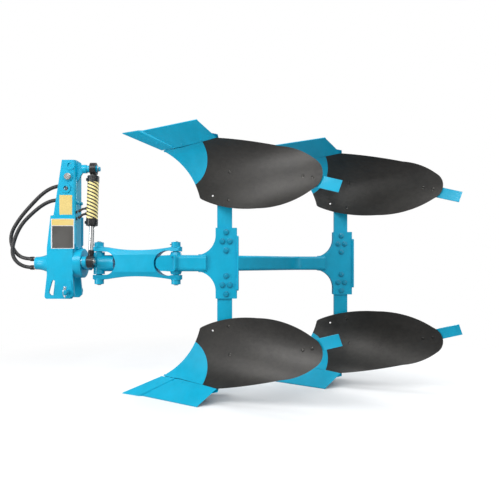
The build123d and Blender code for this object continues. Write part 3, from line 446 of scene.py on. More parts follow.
@dataclass(frozen=True)
class HardChrome(Finish):
    """Polished piston rod with fine rings from its stroke and a film of oil."""

    start: Point = tuple(at(*TOP_EYE))
    axis: Point = tuple((at(*CRANK_EYE) - at(*TOP_EYE)).normalized())
    eye: float = 0.446

    def build(self) -> bpy.types.Material:
        """Makes the chrome, and the black enamel of the eye beyond it.

        Returns:
            The material.
        """
        g = Graph(self.name)
        travel = g.along(self.axis, self.start)
        painted = travel > self.eye
        rings = g.noise(1.0, 3.0, 0.6, g.value("ShaderNodeCombineXYZ", {"X": travel * 900.0}))
        film = g.noise(45.0, 3.0).ramp(0.35, 0.75)
        colour = g.blend((0.66, 0.66, 0.65), (0.50, 0.50, 0.49), rings * 0.4 + film * 0.5)
        colour = g.blend(colour, (0.016, 0.015, 0.015), painted)
        rough = rings.ramp(0.2, 0.8, 0.10, 0.20) + film * 0.05 + painted * 0.2
        return g.finish(base_color=colour, roughness=rough, metallic=1.0 - painted,
                        normal=g.bump(rings, 0.00001))


@dataclass(frozen=True)
class StripedSleeve(Finish):
    """Guard over the barrel: pale yellow with black stripes that wind round it."""

    start: Point = tuple(at(*TOP_EYE))
    axis: Point = tuple((at(*CRANK_EYE) - at(*TOP_EYE)).normalized())
    pitch: float = 0.076
    starts: int = 4
    hand: float = 1.0

    def build(self) -> bpy.types.Material:
        """Makes the stripes from the distance along the barrel and the angle round it.

        Returns:
            The material.
        """
        g = Graph(self.name)
        down = Vector(self.axis)
        front = down.cross(REARWARD)
        angle = g.along(front, self.start).turn_of(g.along(REARWARD, self.start))
        phase = g.along(down, self.start) / self.pitch + angle * (self.hand / math.tau)
        wave = ((phase * float(self.starts)).fraction() - 0.5).absolute()
        stripe = wave.ramp(0.27, 0.29)
        grime = g.noise(55.0, 5.0, 0.65).ramp(0.45, 0.85)
        yellow = g.blend(linear(244, 226, 150), linear(226, 196, 110), grime)
        colour = g.blend(yellow, (0.013, 0.012, 0.011), stripe)
        colour = g.blend(colour, (0.20, 0.18, 0.14), grime * 0.25)
        rough = grime.ramp(0.0, 1.0, 0.38, 0.56)
        relief = stripe * 0.9 + g.noise(700.0, 2.0) * 0.25
        return g.finish(base_color=colour, roughness=rough, normal=g.bump(relief, 0.00016))


@dataclass(frozen=True)
class HoseRubber(Finish):
    """Hydraulic hose cover with a wrapped-cloth texture and a dusty bloom."""

    colour: Colour = (0.016, 0.016, 0.017)

    def build(self) -> bpy.types.Material:
        """Makes the cover.

        Returns:
            The material.
        """
        g = Graph(self.name)
        weave = g.cells(950.0).ramp(0.0, 0.8)
        bloom = g.noise(34.0, 5.0, 0.65).ramp(0.45, 0.85)
        colour = g.blend(self.colour, (0.060, 0.057, 0.052), bloom * 0.55 + weave * 0.12)
        rough = bloom.ramp(0.0, 1.0, 0.44, 0.68)
        return g.finish(base_color=colour, roughness=rough,
                        normal=g.bump(weave + g.noise(260.0, 3.0), 0.00018))


@dataclass(frozen=True)
class PrintedFilm(Finish):
    """Plain coloured film without any print, slightly faded and scuffed."""

    colour: Colour = (0.66, 0.50, 0.16)

    def build(self) -> bpy.types.Material:
        """Makes the film.

        Returns:
            The material.
        """
        g = Graph(self.name)
        fade = g.noise(9.0, 3.0).ramp(0.3, 0.75)
        scuff = g.noise(1.0, 4.0, 0.7, g.stretched(400.0, 90.0, 60.0)).ramp(0.66, 0.8)
        pale = tuple(min(1.0, c * 0.95 + 0.03) for c in self.colour)
        colour = g.blend(self.colour, pale, fade * 0.6 + scuff * 0.4)
        rough = fade.ramp(0.0, 1.0, 0.30, 0.42) + scuff * 0.2
        return g.finish(base_color=colour, roughness=rough,
                        normal=g.bump(g.noise(300.0, 2.0) - scuff * 0.5, 0.00004))


@dataclass(frozen=True)
class StudioPaper(Finish):
    """Even pale floor that runs out into the white of the background."""

    colour: Colour = (0.90, 0.90, 0.90)
    bounce: Colour = (0.34, 0.34, 0.35)
    near: float = 1.1
    far: float = 2.6

    def build(self) -> bpy.types.Material:
        """Makes the paper.

        Returns:
            The material.
        """
        g = Graph(self.name)
        tone = g.noise(0.8, 3.0).ramp(0.3, 0.7)
        colour = g.blend(self.colour, tuple(c * 0.985 for c in self.colour), tone)
        material = g.finish(base_color=colour, roughness=0.85)
        reach = g.value("ShaderNodeVectorMath", {0: g.stretched(1.0, 1.0, 0.0)}, output="Value",
                        operation="LENGTH")
        g.cover(reach.ramp(self.near, self.far), g.node("ShaderNodeEmission", {"Color": (1, 1, 1, 1)}))
        seen = g.value("ShaderNodeLightPath", {}, output="Is Camera Ray")
        g.cover(seen, g.node("ShaderNodeBsdfDiffuse", {"Color": (*self.bounce, 1.0)}), below=True)
        return material


BLUE = GlossPaint("blue_enamel", Slot.BLUE, chips=0.5)
BLUE_CAST = GlossPaint("blue_enamel_cast", Slot.BLUE, chips=0.3, peel=0.00022, rough=0.36)
WELD = GlossPaint("blue_enamel_weld", Slot.BLUE, colour=(0.002, 0.41, 0.63), rough=0.28, peel=0.0003)
# Darker copy of the blue enamel, about seven tenths as bright: painted shade on the leg bolts' heads and
# nuts.
BLUE_BOLT_SHADED = GlossPaint("blue_enamel_bolt", Slot.BLUE, colour=(0.001, 0.27, 0.43), rough=0.24,
                       chips=1.0, peel=0.0002)
BLUE_SHARE = GlossPaint("blue_enamel_share", Slot.BLUE, chips=0.9, rough=0.38, peel=0.00012)
BLACK = GlossPaint("black_enamel", Slot.BLACK, colour=(0.014, 0.014, 0.014), rough=0.33, dust=0.12)
MOULD = PloughSteel("mouldboard_steel", Slot.PLOUGH)
ZINC = PlatedSteel("zinc_plate", Slot.STEEL)
BRIGHT_ZINC = PlatedSteel("bright_zinc", Slot.STEEL, colour=(0.66, 0.72, 0.78), rough=0.30)
CHROME = HardChrome("hard_chrome", Slot.CHROME)
SLEEVE = StripedSleeve("striped_guard", Slot.SLEEVE)
BOLT_STEEL = PlatedSteel("plough_bolt_steel", Slot.PLOUGH, colour=(0.058, 0.056, 0.052), rough=0.34)
RUBBER = HoseRubber("hose_cover", Slot.RUBBER)
YELLOW_FILM = PrintedFilm("yellow_film", Slot.SLEEVE)
WHITE_FILM = PrintedFilm("white_film", Slot.SLEEVE, colour=(0.66, 0.67, 0.68))
GREY_FILM = PrintedFilm("grey_film", Slot.BLACK, colour=(0.062, 0.058, 0.052))
PAPER = StudioPaper("studio_paper", Slot.STEEL)


# Modelled pieces


class Maker:
    """Collects small solids into one mesh in the shared frame."""

    def __init__(self, name: str) -> None:
        """Starts an empty piece.

        Args:
            name: what the piece is called.
        """
        self.name = name
        self.mesh = bmesh.new()
        self.solids: list[bpy.types.Mesh] = []

    def keep(self) -> None:
        """Sets the solid in hand aside, so that each operator works on one small mesh."""
        data = bpy.data.meshes.new("solid")
        self.mesh.to_mesh(data)
        self.solids.append(data)
        self.mesh.clear()

    @staticmethod
    def facing(spot: Vector, direction: Vector, roll: float = 0.0) -> Matrix:
        """Place with local Z along a direction.

        Args:
            spot: the place's origin.
            direction: where local Z points.
            roll: turn about that direction, in radians.

        Returns:
            The placing matrix.
        """
        turn = UP.rotation_difference(direction.normalized()).to_matrix().to_4x4()
        return Matrix.Translation(spot) @ turn @ Matrix.Rotation(roll, 4, "Z")

    def drum(self, spot: Vector, direction: Vector, radius: float, length: float, sides: int = 24,
             taper: float = 1.0, edge: float = 0.0, roll: float = 0.0) -> None:
        """Adds a round or many-sided bar that stands on a spot.

        Args:
            spot: middle of its foot, in metres.
            direction: where it points.
            radius: of its foot, in metres.
            length: in metres.
            sides: how many sides; 6 is a hexagon.
            taper: top radius as a share of the foot's.
            edge: size of the chamfer on its top edge, in metres.
            roll: turn about its own axis.
        """
        made = bmesh.ops.create_cone(
            self.mesh, cap_ends=True, segments=sides, radius1=radius, radius2=radius * taper,
            depth=length, matrix=self.facing(spot, direction, roll) @ Matrix.Translation((0, 0, length / 2)),
        )
        if edge:
            top = spot + direction.normalized() * length
            rim = {
                e for v in made["verts"] for e in v.link_edges
                if all((w.co - top).dot(direction.normalized()) > -length * 0.01 for w in e.verts)
            }
            bmesh.ops.bevel(self.mesh, geom=list(rim), offset=edge, segments=2, profile=0.5,
                            affect="EDGES", material=-1)
        self.keep()

    def ring(self, spot: Vector, direction: Vector, radius: float, wire: float) -> None:
        """Adds a closed ring of round wire.

        Args:
            spot: its middle, in metres.
            direction: its axis.
            radius: from its middle to the middle of the wire, in metres.
            wire: radius of the wire, in metres.
        """
        place = self.facing(spot, direction)
        made = bmesh.ops.create_circle(
            self.mesh, cap_ends=False, segments=10, radius=wire,
            matrix=place @ Matrix.Translation((radius, 0, 0)) @ Matrix.Rotation(math.pi / 2, 4, "X"),
        )
        geometry = made["verts"] + list({e for v in made["verts"] for e in v.link_edges})
        bmesh.ops.spin(self.mesh, geom=geometry, cent=spot, axis=direction.normalized(), angle=math.tau,
                       steps=28, use_merge=True, use_duplicate=False)
        bmesh.ops.recalc_face_normals(self.mesh, faces=self.mesh.faces)
        self.keep()

    def slab(self, place: Matrix, size: Point, edge: float = 0.0) -> None:
        """Adds a box.

        Args:
            place: where its middle lies and how it is turned.
            size: its three sides, in metres.
            edge: bevel of its edges, in metres; 0 leaves them sharp.
        """
        made = bmesh.ops.create_cube(self.mesh, size=1.0, matrix=place @ Matrix.Diagonal((*size, 1.0)))
        if edge:
            rim = list({e for v in made["verts"] for e in v.link_edges})
            bmesh.ops.bevel(self.mesh, geom=rim, offset=edge, segments=2, profile=0.5, affect="EDGES",
                            material=-1)
        self.keep()

    def blob(self, place: Matrix, size: Point) -> None:
        """Adds a rounded lump with three half sizes in metres."""
        bmesh.ops.create_uvsphere(self.mesh, u_segments=10, v_segments=7, radius=1.0,
                                  matrix=place @ Matrix.Diagonal((*size, 1.0)))
        self.keep()

    def hex_bolt(self, spot: Vector, direction: Vector, across: float, roll: float = 0.2,
                 stub: float = 0.0) -> None:
        """Adds a washer and a hexagon head, or a nut with the bolt's end where a stub is given.

        Args:
            spot: point on the surface.
            direction: out of the surface.
            across: distance over the flats, in mm.
            roll: turn of the hexagon.
            stub: length of thread beyond the nut, in mm.
        """
        out = direction.normalized()
        size = across * MM
        self.drum(spot, out, size * 0.78, size * 0.11, 28, edge=size * 0.02)
        self.drum(spot + out * size * 0.10, out, size * 0.577, size * 0.52, 6, edge=size * 0.045, roll=roll)
        if stub:
            self.drum(spot + out * size * 0.5, out, size * 0.31, stub * MM + size * 0.1, 16,
                      edge=size * 0.06)

    def weld(self, points: Sequence[Vector], size: float) -> None:
        """Lays a bead of overlapping ripples along a line.

        Args:
            points: the line's corners, in metres.
            size: half width of the bead, in mm.
        """
        radius = size * MM
        for begin, end in zip(points, points[1:]):
            run = end - begin
            count = max(1, round(run.length / (radius * 0.62)))
            for step in range(count + 1):
                spot = begin + run * (step / count)
                swell = 1.0 + 0.10 * math.sin(step * 2.3)
                self.blob(self.facing(spot, run), (radius * swell, radius * swell, radius * 0.72))

    def object(self, finish: Finish, body: Body, sharp: float = 35.0) -> bpy.types.Object:
        """Turns the collected solids into one shaded piece that rides on a body.

        Args:
            finish: its surface.
            body: what it moves with.
            sharp: angle above which an edge stays sharp, in degrees.

        Returns:
            The piece.
        """
        for solid in self.solids:
            self.mesh.from_mesh(solid)
            bpy.data.meshes.remove(solid)
        data = bpy.data.meshes.new(self.name)
        self.mesh.to_mesh(data)
        self.mesh.free()
        piece = bpy.data.objects.new(self.name, data)
        bpy.context.scene.collection.objects.link(piece)
        data.materials.append(finish.material())
        data.polygons.foreach_set("use_smooth", [True] * len(data.polygons))
        data.set_sharp_from_angle(angle=math.radians(sharp))
        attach(piece, body.value)
        LOG.info("%s: %d faces on the %s", self.name, len(data.polygons), body.value)
        return piece


@dataclass
class Dresser:
    """Gives the solid nodes their finishes and softened edges."""

    nodes: dict[str, bpy.types.Object]
    done: set[str] = field(default_factory=set)

    def dress(self, finish: Finish, *names: str, edge: float = 0.8, sharp: float = 32.0) -> None:
        """Dresses several nodes.

        Args:
            finish: their surface.
            names: the nodes.
            edge: radius of the softened edges, in mm; 0 leaves them as they are.
            sharp: angle above which an edge is softened, in degrees.
        """
        for name in names:
            node = self.nodes[name]
            node.data.materials.clear()
            node.data.materials.append(finish.material())
            if edge:
                soft = node.modifiers.new("soft_edge", "BEVEL")
                soft.width = edge * MM
                soft.segments = 2
                soft.limit_method = "ANGLE"
                soft.angle_limit = math.radians(sharp)
                soft.harden_normals = True
                soft.use_clamp_overlap = True
            self.done.add(name)

    def check(self) -> None:
        """Logs every node that has no finish."""
        missing = sorted(set(self.nodes) - self.done)
        if missing:
            LOG.warning("nodes without a finish: %s", missing)


@dataclass(frozen=True)
class Linchpin:
    """Pin through the end of a hitch pin, with a head and a spring ring; sizes in mm."""

    shank: float = 4.5
    length: float = 56.0
    below: float = 26.0
    head: float = 8.0
    head_length: float = 10.0
    head_above: float = 22.0
    ring: float = 24.0
    wire: float = 1.9

    def build(self, maker: Maker, spot: Vector, out: Vector) -> None:
        """Adds it to a piece.

        Args:
            maker: the piece.
            spot: middle of the hitch pin's end.
            out: direction of the hitch pin.
        """
        maker.drum(spot - UP * self.below * MM, UP, self.shank * MM, self.length * MM, 16, edge=0.8 * MM)
        maker.drum(spot + UP * self.head_above * MM, UP, self.head * MM, self.head_length * MM, 16,
                   edge=1.5 * MM)
        maker.ring(spot + UP * 2 * MM + out * 3 * MM, REARWARD, self.ring * MM, self.wire * MM)


@dataclass
class Headstock:
    """Tower, hub, pins and the blank panels."""

    dresser: Dresser
    near: float = -70.0
    upper_near: float = -56.0
    film: float = 0.7
    print_film: float = 0.4
    ear_hole: tuple[float, float] = (-971.0, -155.0)
    pin_end: float = 121.0
    rear_face: float = -936.0
    bolt_levels: tuple[float, float] = (330.0, 80.0)
    bolt_side: float = 30.0
    hub_front: float = -1087.0
    hub_radius: float = 63.0

    def dress(self) -> None:
        """Finishes the solid nodes."""
        self.dresser.dress(BLUE, "tower", "hub_cheeks", "hub_front_plate", "cylinder_bracket", edge=1.0)
        self.dresser.dress(BLUE_CAST, "hub_housing", edge=1.5)
        self.dresser.dress(BLUE, "hitch_pins", "cylinder_pin", edge=1.0)
        self.dresser.dress(ZINC, "top_link_pin", "hose_bulkhead", "nose_fittings", edge=0.6)

    def build(self) -> None:
        """Adds panels, fasteners and welds."""
        self.panels()
        self.fasteners()
        self.welds()

    def panels(self) -> None:
        """Sticks the yellow panel and the plain bordered panel on the near side."""
        over = self.near - self.film
        sheets = (
            ("yellow_panel", YELLOW_FILM, -989.0, 311.0, 68.0, 112.0, self.upper_near, self.film),
            ("bordered_panel", WHITE_FILM, -1001.0, 158.0, 124.0, 160.0, self.near, self.film),
            ("bordered_panel_head", YELLOW_FILM, -1001.0, 219.0, 117.0, 34.0, over, self.print_film),
            ("bordered_panel_block", GREY_FILM, -1001.0, 140.0, 112.0, 118.0, over, self.print_film),
        )
        for name, finish, x, z, wide, high, y, thick in sheets:
            maker = Maker(name)
            spot = at(x, y, z) + NEARWARD * thick * MM / 2
            maker.slab(Matrix.Translation(spot), (wide * MM, thick * MM, high * MM))
            maker.object(finish, Body.HEADSTOCK)

    def fasteners(self) -> None:
        """Adds the linchpins and the bolts of the tower."""
        pins = Maker("linchpins")
        x, z = self.ear_hole
        for side in (-1, 1):
            Linchpin().build(pins, at(x, side * self.pin_end, z), FARWARD * side)
        pins.object(BRIGHT_ZINC, Body.HEADSTOCK)
        heads = Maker("tower_bolts")
        for z in self.bolt_levels:
            for y in (-self.bolt_side, self.bolt_side):
                heads.hex_bolt(at(self.rear_face, y, z), REARWARD, 16.0)
        heads.object(BLUE, Body.HEADSTOCK)

    def welds(self) -> None:
        """Lays the beads between hub, cheeks and channel."""
        bead = Maker("headstock_welds")
        for side in (-1, 1):
            y = side * 56.5
            bead.weld([at(-1056, y, 257), at(-1010, y, 258), at(-940, y, 258)], 3.2)
            bead.weld([at(-948.5, side * 62, 80), at(-948.5, side * 71.5, 40),
                       at(-948.5, side * 71.5, -40), at(-948.5, side * 66, -60)], 3.0)
        ring = [at(self.hub_front, self.hub_radius * math.cos(a), self.hub_radius * math.sin(a))
                for a in (math.tau * i / 20 for i in range(21))]
        bead.weld(ring, 3.2)
        bead.object(WELD, Body.HEADSTOCK, sharp=180.0)


@dataclass
class Hoses:
    """Two hydraulic hoses from the bulkhead to the nose."""

    radius: float = 10.0
    crimp_radius: float = 12.4
    crimp_length: float = 21.0
    crimp_marks: Point = (5.0, 10.0, 15.0)
    outer: tuple[Point, ...] = (
        (-1016, 22, 430), (-1060, 22, 430), (-1132, 21.5, 398.5), (-1214, 21, 315), (-1271, 20, 246.5),
        (-1317, 19, 170), (-1317.5, 17, 104.5), (-1286, 13, 51), (-1235, 0, 23.5), (-1181, 0, 23.5),
    )
    inner: tuple[Point, ...] = (
        (-1016, 22, 352), (-1077, 22, 352), (-1138, 17, 326.5), (-1205, 8, 267.5), (-1258, -2, 204.5),
        (-1291, -12, 116.5), (-1296.5, -17, 48), (-1270.5, -12, 1), (-1223.5, 0, -23.5),
        (-1181, 0, -23.5),
    )

    def build(self) -> None:
        """Draws both hoses and their crimped ends."""
        for name, route, length in (("hose_outer", self.outer, 0.652), ("hose_inner", self.inner, 0.608)):
            self.hose(name, route, length)

    def hose(self, name: str, route: Sequence[Point], length: float) -> None:
        """Draws one hose on its route.

        Args:
            name: the node that it stands for.
            route: its points in plough millimetres.
            length: its real length, in metres.
        """
        data = bpy.data.curves.new(name + "_run", "CURVE")
        data.dimensions = "3D"
        data.resolution_u = 12
        data.bevel_depth = self.radius * MM
        data.bevel_resolution = 5
        spline = data.splines.new("NURBS")
        spline.points.add(len(route) - 1)
        for point, place in zip(spline.points, route):
            point.co = (*at(*place), 1.0)
        spline.order_u = 3
        spline.use_endpoint_u = True
        hose = bpy.data.objects.new(name + "_run", data)
        bpy.context.scene.collection.objects.link(hose)
        data.materials.append(RUBBER.material())
        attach(hose, Body.HEADSTOCK.value)
        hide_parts(name)
        crimps = Maker(name + "_crimps")
        for spot in (at(*route[0]), at(*route[-1])):
            crimps.drum(spot, FORWARD, self.crimp_radius * MM, self.crimp_length * MM, 24, edge=1.0 * MM)
            for step in self.crimp_marks:
                crimps.ring(spot + FORWARD * step * MM, REARWARD, 12.2 * MM, 0.9 * MM)
        pieces = crimps.object(BLACK, Body.HEADSTOCK)
        LOG.info("%s: a hose of %.3f m", name, length)


@dataclass
class Cylinder:
    """Turnover cylinder with its striped guard."""

    dresser: Dresser
    top: Point = TOP_EYE
    foot: Point = CRANK_EYE
    grooves: tuple[float, ...] = (46.0, 54.0, 62.0, 283.0, 292.0, 301.0)
    ports: tuple[float, float] = (58.0, 294.0)
    cap_radius: float = 31.0
    gland: float = 311.0
    clip_back: float = 27.0
    spring_back: float = 22.0
    crank_clip_back: float = 20.5
    tower_face: float = -936.0
    line_radius: float = 6.0
    lines: tuple[tuple[Point, Point, Point], ...] = (
        ((-876, -48, 296), (-900, -47, 293), (-924, -45, 279)),
        ((-876, -51, 268), (-900, -50, 262), (-924, -47, 243)),
    )

    def dress(self) -> None:
        """Finishes the solid nodes."""
        self.dresser.dress(BLACK, "cylinder_barrel", edge=1.0)
        self.dresser.dress(SLEEVE, "cylinder_sleeve", edge=0.4)
        self.dresser.dress(CHROME, "cylinder_rod", edge=0.6)
        self.dresser.dress(ZINC, "crank_pin", edge=0.8)

    def build(self) -> None:
        """Adds the gland, grooves, ports, the shoulder of the rod's eye, clips and oil lines."""
        top, foot = at(*self.top), at(*self.foot)
        down = (foot - top).normalized()
        trim = Maker("cylinder_trim")
        for start in self.grooves:
            trim.ring(top + down * start * MM, down, self.cap_radius * MM, 1.1 * MM)
        trim.drum(top + down * self.gland * MM, down, 19 * MM, 6 * MM, 32, taper=0.9)
        for start in self.ports:
            trim.drum(top + down * start * MM + FORWARD * 29 * MM, FORWARD, 9 * MM, 9 * MM, 6,
                      edge=1.0 * MM)
        trim.object(BLACK, Body.BARREL)
        shoulder = Maker("rod_eye_shoulder")
        shoulder.drum(foot - down * 60 * MM, down, 15.5 * MM, 30 * MM, 28, edge=0.8 * MM)
        shoulder.object(BLACK, Body.ROD)
        clips = Maker("cylinder_clips")
        clips.ring(top + REARWARD * self.clip_back * MM, REARWARD, 13.2 * MM, 1.3 * MM)
        clips.ring(top + REARWARD * self.spring_back * MM, Vector((1, 0.25, 0)), 21.0 * MM, 1.4 * MM)
        clips.object(ZINC, Body.BARREL)
        crank_clip = Maker("crank_pin_clip")
        crank_clip.drum(foot + REARWARD * self.crank_clip_back * MM, REARWARD, 9 * MM, 5 * MM, 6,
                        edge=0.7 * MM)
        crank_clip.object(ZINC, Body.TURNOVER)
        self.feed_lines()

    def feed_lines(self) -> None:
        """Adds the two short oil lines beside the barrel and their ports on the tower."""
        lines = Maker("feed_lines")
        ports = Maker("feed_ports")
        thick = self.line_radius * MM
        for start, knee, end in self.lines:
            first, middle, last = at(*start), at(*knee), at(*end)
            lines.drum(first, middle - first, 8.5 * MM, 9 * MM, 6, edge=0.8 * MM)
            lines.drum(first, middle - first, thick, (middle - first).length, 18)
            lines.drum(middle, last - middle, thick, (last - middle).length, 18)
            lines.blob(Matrix.Translation(middle), (thick, thick, thick))
            lines.drum(last, middle - last, 7.4 * MM, 12 * MM, 20, edge=0.8 * MM)
            ports.drum(at(self.tower_face, end[1], end[2] - 3.0), REARWARD, 9 * MM, 5 * MM, 6,
                       edge=0.8 * MM)
        lines.object(RUBBER, Body.BARREL)
        ports.object(BLACK, Body.HEADSTOCK)


@dataclass
class Linkage:
    """Turnover head, dogbone link and turnbuckle."""

    dresser: Dresser
    front: tuple[float, float] = (-825.0, 0.0)
    rear: tuple[float, float] = (-398.0, -40.0)
    boss_top: float = 116.0
    boss_edge: float = 88.5
    boss_bead: float = 25.5
    shaft_beads: tuple[tuple[float, float], ...] = ((-826.5, 33.0), (-867.0, 32.5))

    def dress(self) -> None:
        """Finishes the solid nodes."""
        self.dresser.dress(BLUE_CAST, "turnover_head", "offset_link", edge=1.4)
        self.dresser.dress(BLUE, "link_pins", edge=1.2)
        self.dresser.dress(BLUE, "turnbuckle_tube", edge=0.6)
        self.dresser.dress(ZINC, "turnbuckle_eyes", "turnbuckle_front_pin", "turnbuckle_rear_pin",
                           edge=0.6)

    def build(self) -> None:
        """Adds pin caps, grease nipples and welds."""
        caps = Maker("link_pin_caps")
        nipples = Maker("grease_nipples")
        for x, y in (self.front, self.rear):
            for side in (-1, 1):
                up = Vector((0, 0, side))
                caps.drum(at(x, y, side * self.boss_top), up, 10 * MM, 4 * MM, 6, edge=0.8 * MM)
            nipples.drum(at(x - 22, y - 8, 100), Vector((-0.8, -0.6, 0.2)), 4 * MM, 7 * MM, 6,
                         edge=0.6 * MM)
            nipples.blob(Matrix.Translation(at(x - 29.5, y - 13.4, 101.6)), (3 * MM, 3 * MM, 3 * MM))
        caps.object(ZINC, Body.LINK)
        nipples.object(ZINC, Body.LINK)
        link_weld = Maker("link_welds")
        for x, y in (self.front, self.rear):
            for z in (self.boss_edge, -self.boss_edge):
                link_weld.weld([at(x + self.boss_bead * math.cos(a), y + self.boss_bead * math.sin(a), z)
                                for a in (math.tau * i / 14 for i in range(15))], 2.8)
        link_weld.object(WELD, Body.LINK, sharp=180.0)
        head_weld = Maker("head_welds")
        for x, r in self.shaft_beads:
            head_weld.weld([at(x, r * math.cos(a), r * math.sin(a))
                            for a in (math.tau * i / 16 for i in range(17))], 3.0)
        head_weld.object(WELD, Body.TURNOVER, sharp=180.0)


@dataclass
class MainFrame:
    """Neck, brackets, beam and legs."""

    dresser: Dresser
    leg_x: float = -134.0
    leg_y: float = -40.0
    clamp_face: float = 27.0
    clamp_level: float = 117.0
    diamond: tuple[tuple[float, float], ...] = ((-20, 0), (20, 0), (0, 49), (0, -49))
    front_shift: float = 8.5
    head: float = 21.0

    def dress(self) -> None:
        """Finishes the solid nodes."""
        self.dresser.dress(BLUE, "neck", "rear_beam", "front_bracket_plates", "rear_bracket_plates",
                           "bracket_straps", edge=1.2)
        for row in Row:
            for level in Level:
                self.dresser.dress(BLUE, f"{body_name(row, level)}_leg", edge=1.6)

    def build(self) -> None:
        """Adds the leg bolts and the welds."""
        self.bolts()
        self.welds()

    def bolts(self) -> None:
        """Clamps each leg with four bolts in a diamond."""
        heads = Maker("leg_bolts")
        nuts = Maker("leg_nuts")
        for row in Row:
            x = self.leg_x + row.back + (self.front_shift if row is Row.FRONT else 0.0)
            y = self.leg_y + row.across
            for side in (-1, 1):
                for dx, dz in self.diamond:
                    z = side * self.clamp_level + dz
                    roll = 0.3 + 0.17 * dx + 0.05 * dz
                    heads.hex_bolt(at(x + dx, y - self.clamp_face, z), NEARWARD, self.head, roll)
                    nuts.hex_bolt(at(x + dx, y + self.clamp_face, z), FARWARD, self.head, roll, stub=7.0)
        # Heads and nuts take the darker blue enamel, which is painted shade.
        heads.object(BLUE_BOLT_SHADED, Body.FRAME)
        nuts.object(BLUE_BOLT_SHADED, Body.FRAME)

    def welds(self) -> None:
        """Lays the beads at the brackets, straps and bends."""
        bead = Maker("frame_welds")
        for row, half in ((Row.FRONT, 44.0), (Row.REAR, 41.0)):
            x0, y0 = self.leg_x + row.back, self.leg_y + row.across
            for y in (y0 - 27.5, y0 + 27.5):
                for side in (-1, 1):
                    bead.weld([at(x0 - 138, y, side * (half + 1)), at(x0 - 100, y, side * (half + 1))], 3.4)
            for y in (y0 - 28, y0 + 28):
                bead.weld([at(x0 - 97, y, -half + 5), at(x0 - 97, y, half - 5)], 3.4)
                for side in (-1, 1):
                    bead.weld([at(x0 + 65, y, side * 60), at(x0 + 65, y, side * 144)], 3.0)
        bead.object(WELD, Body.FRAME, sharp=180.0)


@dataclass
class PloughBodies:
    """Four bodies with mouldboards, shares, shins and points."""

    dresser: Dresser
    seats: tuple[tuple[str, float, float], ...] = (
        ("mouldboard", -103.0, 473.0), ("mouldboard", 251.0, 410.0), ("mouldboard", 293.0, 398.0),
        ("mouldboard", -111.0, 332.0), ("share", -359.0, 631.0), ("share", -250.0, 633.0),
        ("point", -503.0, 650.0), ("point", -416.0, 623.0),
    )
    head_radius: float = 8.5
    toe_place: Point = (-447.5, -7.5, 620.3)
    toe_size: Point = (53.0, 8.0, 10.0)
    toe_turn: float = -34.9
    toe_climb: float = 11.0
    frog_bolts: tuple[tuple[float, float], ...] = ((-18, 500), (18, 500), (-18, 570), (18, 570))
    leg_near: float = -55.0
    frog_far: float = -9.0
    leg_x: float = -134.0

    def dress(self) -> None:
        """Finishes the solid nodes."""
        for row in Row:
            for level in Level:
                name = body_name(row, level)
                self.dresser.dress(MOULD, f"{name}_mouldboard", edge=1.2)
                self.dresser.dress(BLUE_SHARE, f"{name}_shin", f"{name}_share", edge=1.0)
                self.dresser.dress(BLUE_SHARE, f"{name}_point", edge=2.0)
                self.dresser.dress(BLUE_CAST, f"{name}_frog", edge=1.0)
            rear_ends = (f"{row.name.lower()}_{kind}" for kind in ("landsides", "tail_bars"))
            self.dresser.dress(BLUE_SHARE, *rear_ends, edge=1.5)

    def seat(self, node: str, x: float, z: float) -> tuple[Vector, Vector]:
        """Finds where a bolt meets a plate, looking at it square from the near side.

        Args:
            node: the plate.
            x: distance behind the middle of the turnover axis, in mm.
            z: height above the axis, in mm.

        Returns:
            The place in metres and the direction out of the face.
        """
        mesh = bmesh.new()
        mesh.from_mesh(self.dresser.nodes[node].data)
        spot, face, _, _ = BVHTree.FromBMesh(mesh).ray_cast(at(x, -2000.0, z), FARWARD)
        mesh.free()
        if spot is None:
            LOG.warning("no plate of %s behind a bolt at %s, %s", node, x, z)
            return at(x, 0.0, z), NEARWARD
        return spot, (face if face.y < 0 else -face)

    def build(self) -> None:
        """Adds plough bolts, the frogs' toes and the bolts between legs and frogs."""
        faces = Maker("plough_bolts")
        painted = Maker("share_bolts")
        toes = Maker("frog_toes")
        for row in Row:
            for level in Level:
                side = level.value
                for plate, x, z in self.seats:
                    spot, face = self.seat(f"{body_name(row, level)}_{plate}", x + row.back, side * z)
                    heads = faces if plate == "mouldboard" else painted
                    heads.drum(spot - face * 1.0 * MM, face, self.head_radius * MM, 1.7 * MM, 28,
                               edge=0.5 * MM)
                    heads.drum(spot + face * 0.5 * MM, face, 4.6 * MM, 0.7 * MM, 4)
                lean = Matrix.Rotation(math.radians(self.toe_turn), 4, "Z") @ Matrix.Rotation(
                    math.radians(-self.toe_climb * side), 4, "Y")
                x, y, z = self.toe_place
                spot = at(x + row.back, y + row.across, side * z)
                toes.slab(Matrix.Translation(spot) @ lean, tuple(v * MM for v in self.toe_size),
                          edge=1.5 * MM)
        faces.object(BOLT_STEEL, Body.FRAME)
        painted.object(BLUE_SHARE, Body.FRAME)
        toes.object(BLUE_CAST, Body.FRAME)
        legs = Maker("frog_bolts")
        for row in Row:
            for side in (-1, 1):
                for dx, z in self.frog_bolts:
                    x = self.leg_x + row.back + dx
                    near = at(x, self.leg_near + row.across, side * z)
                    far = at(x, self.frog_far + row.across, side * z)
                    legs.hex_bolt(near, NEARWARD, 22.0, 0.4 + dx)
                    legs.hex_bolt(far, FARWARD, 22.0, 0.4 + dx, stub=6.0)
        legs.object(ZINC, Body.FRAME)


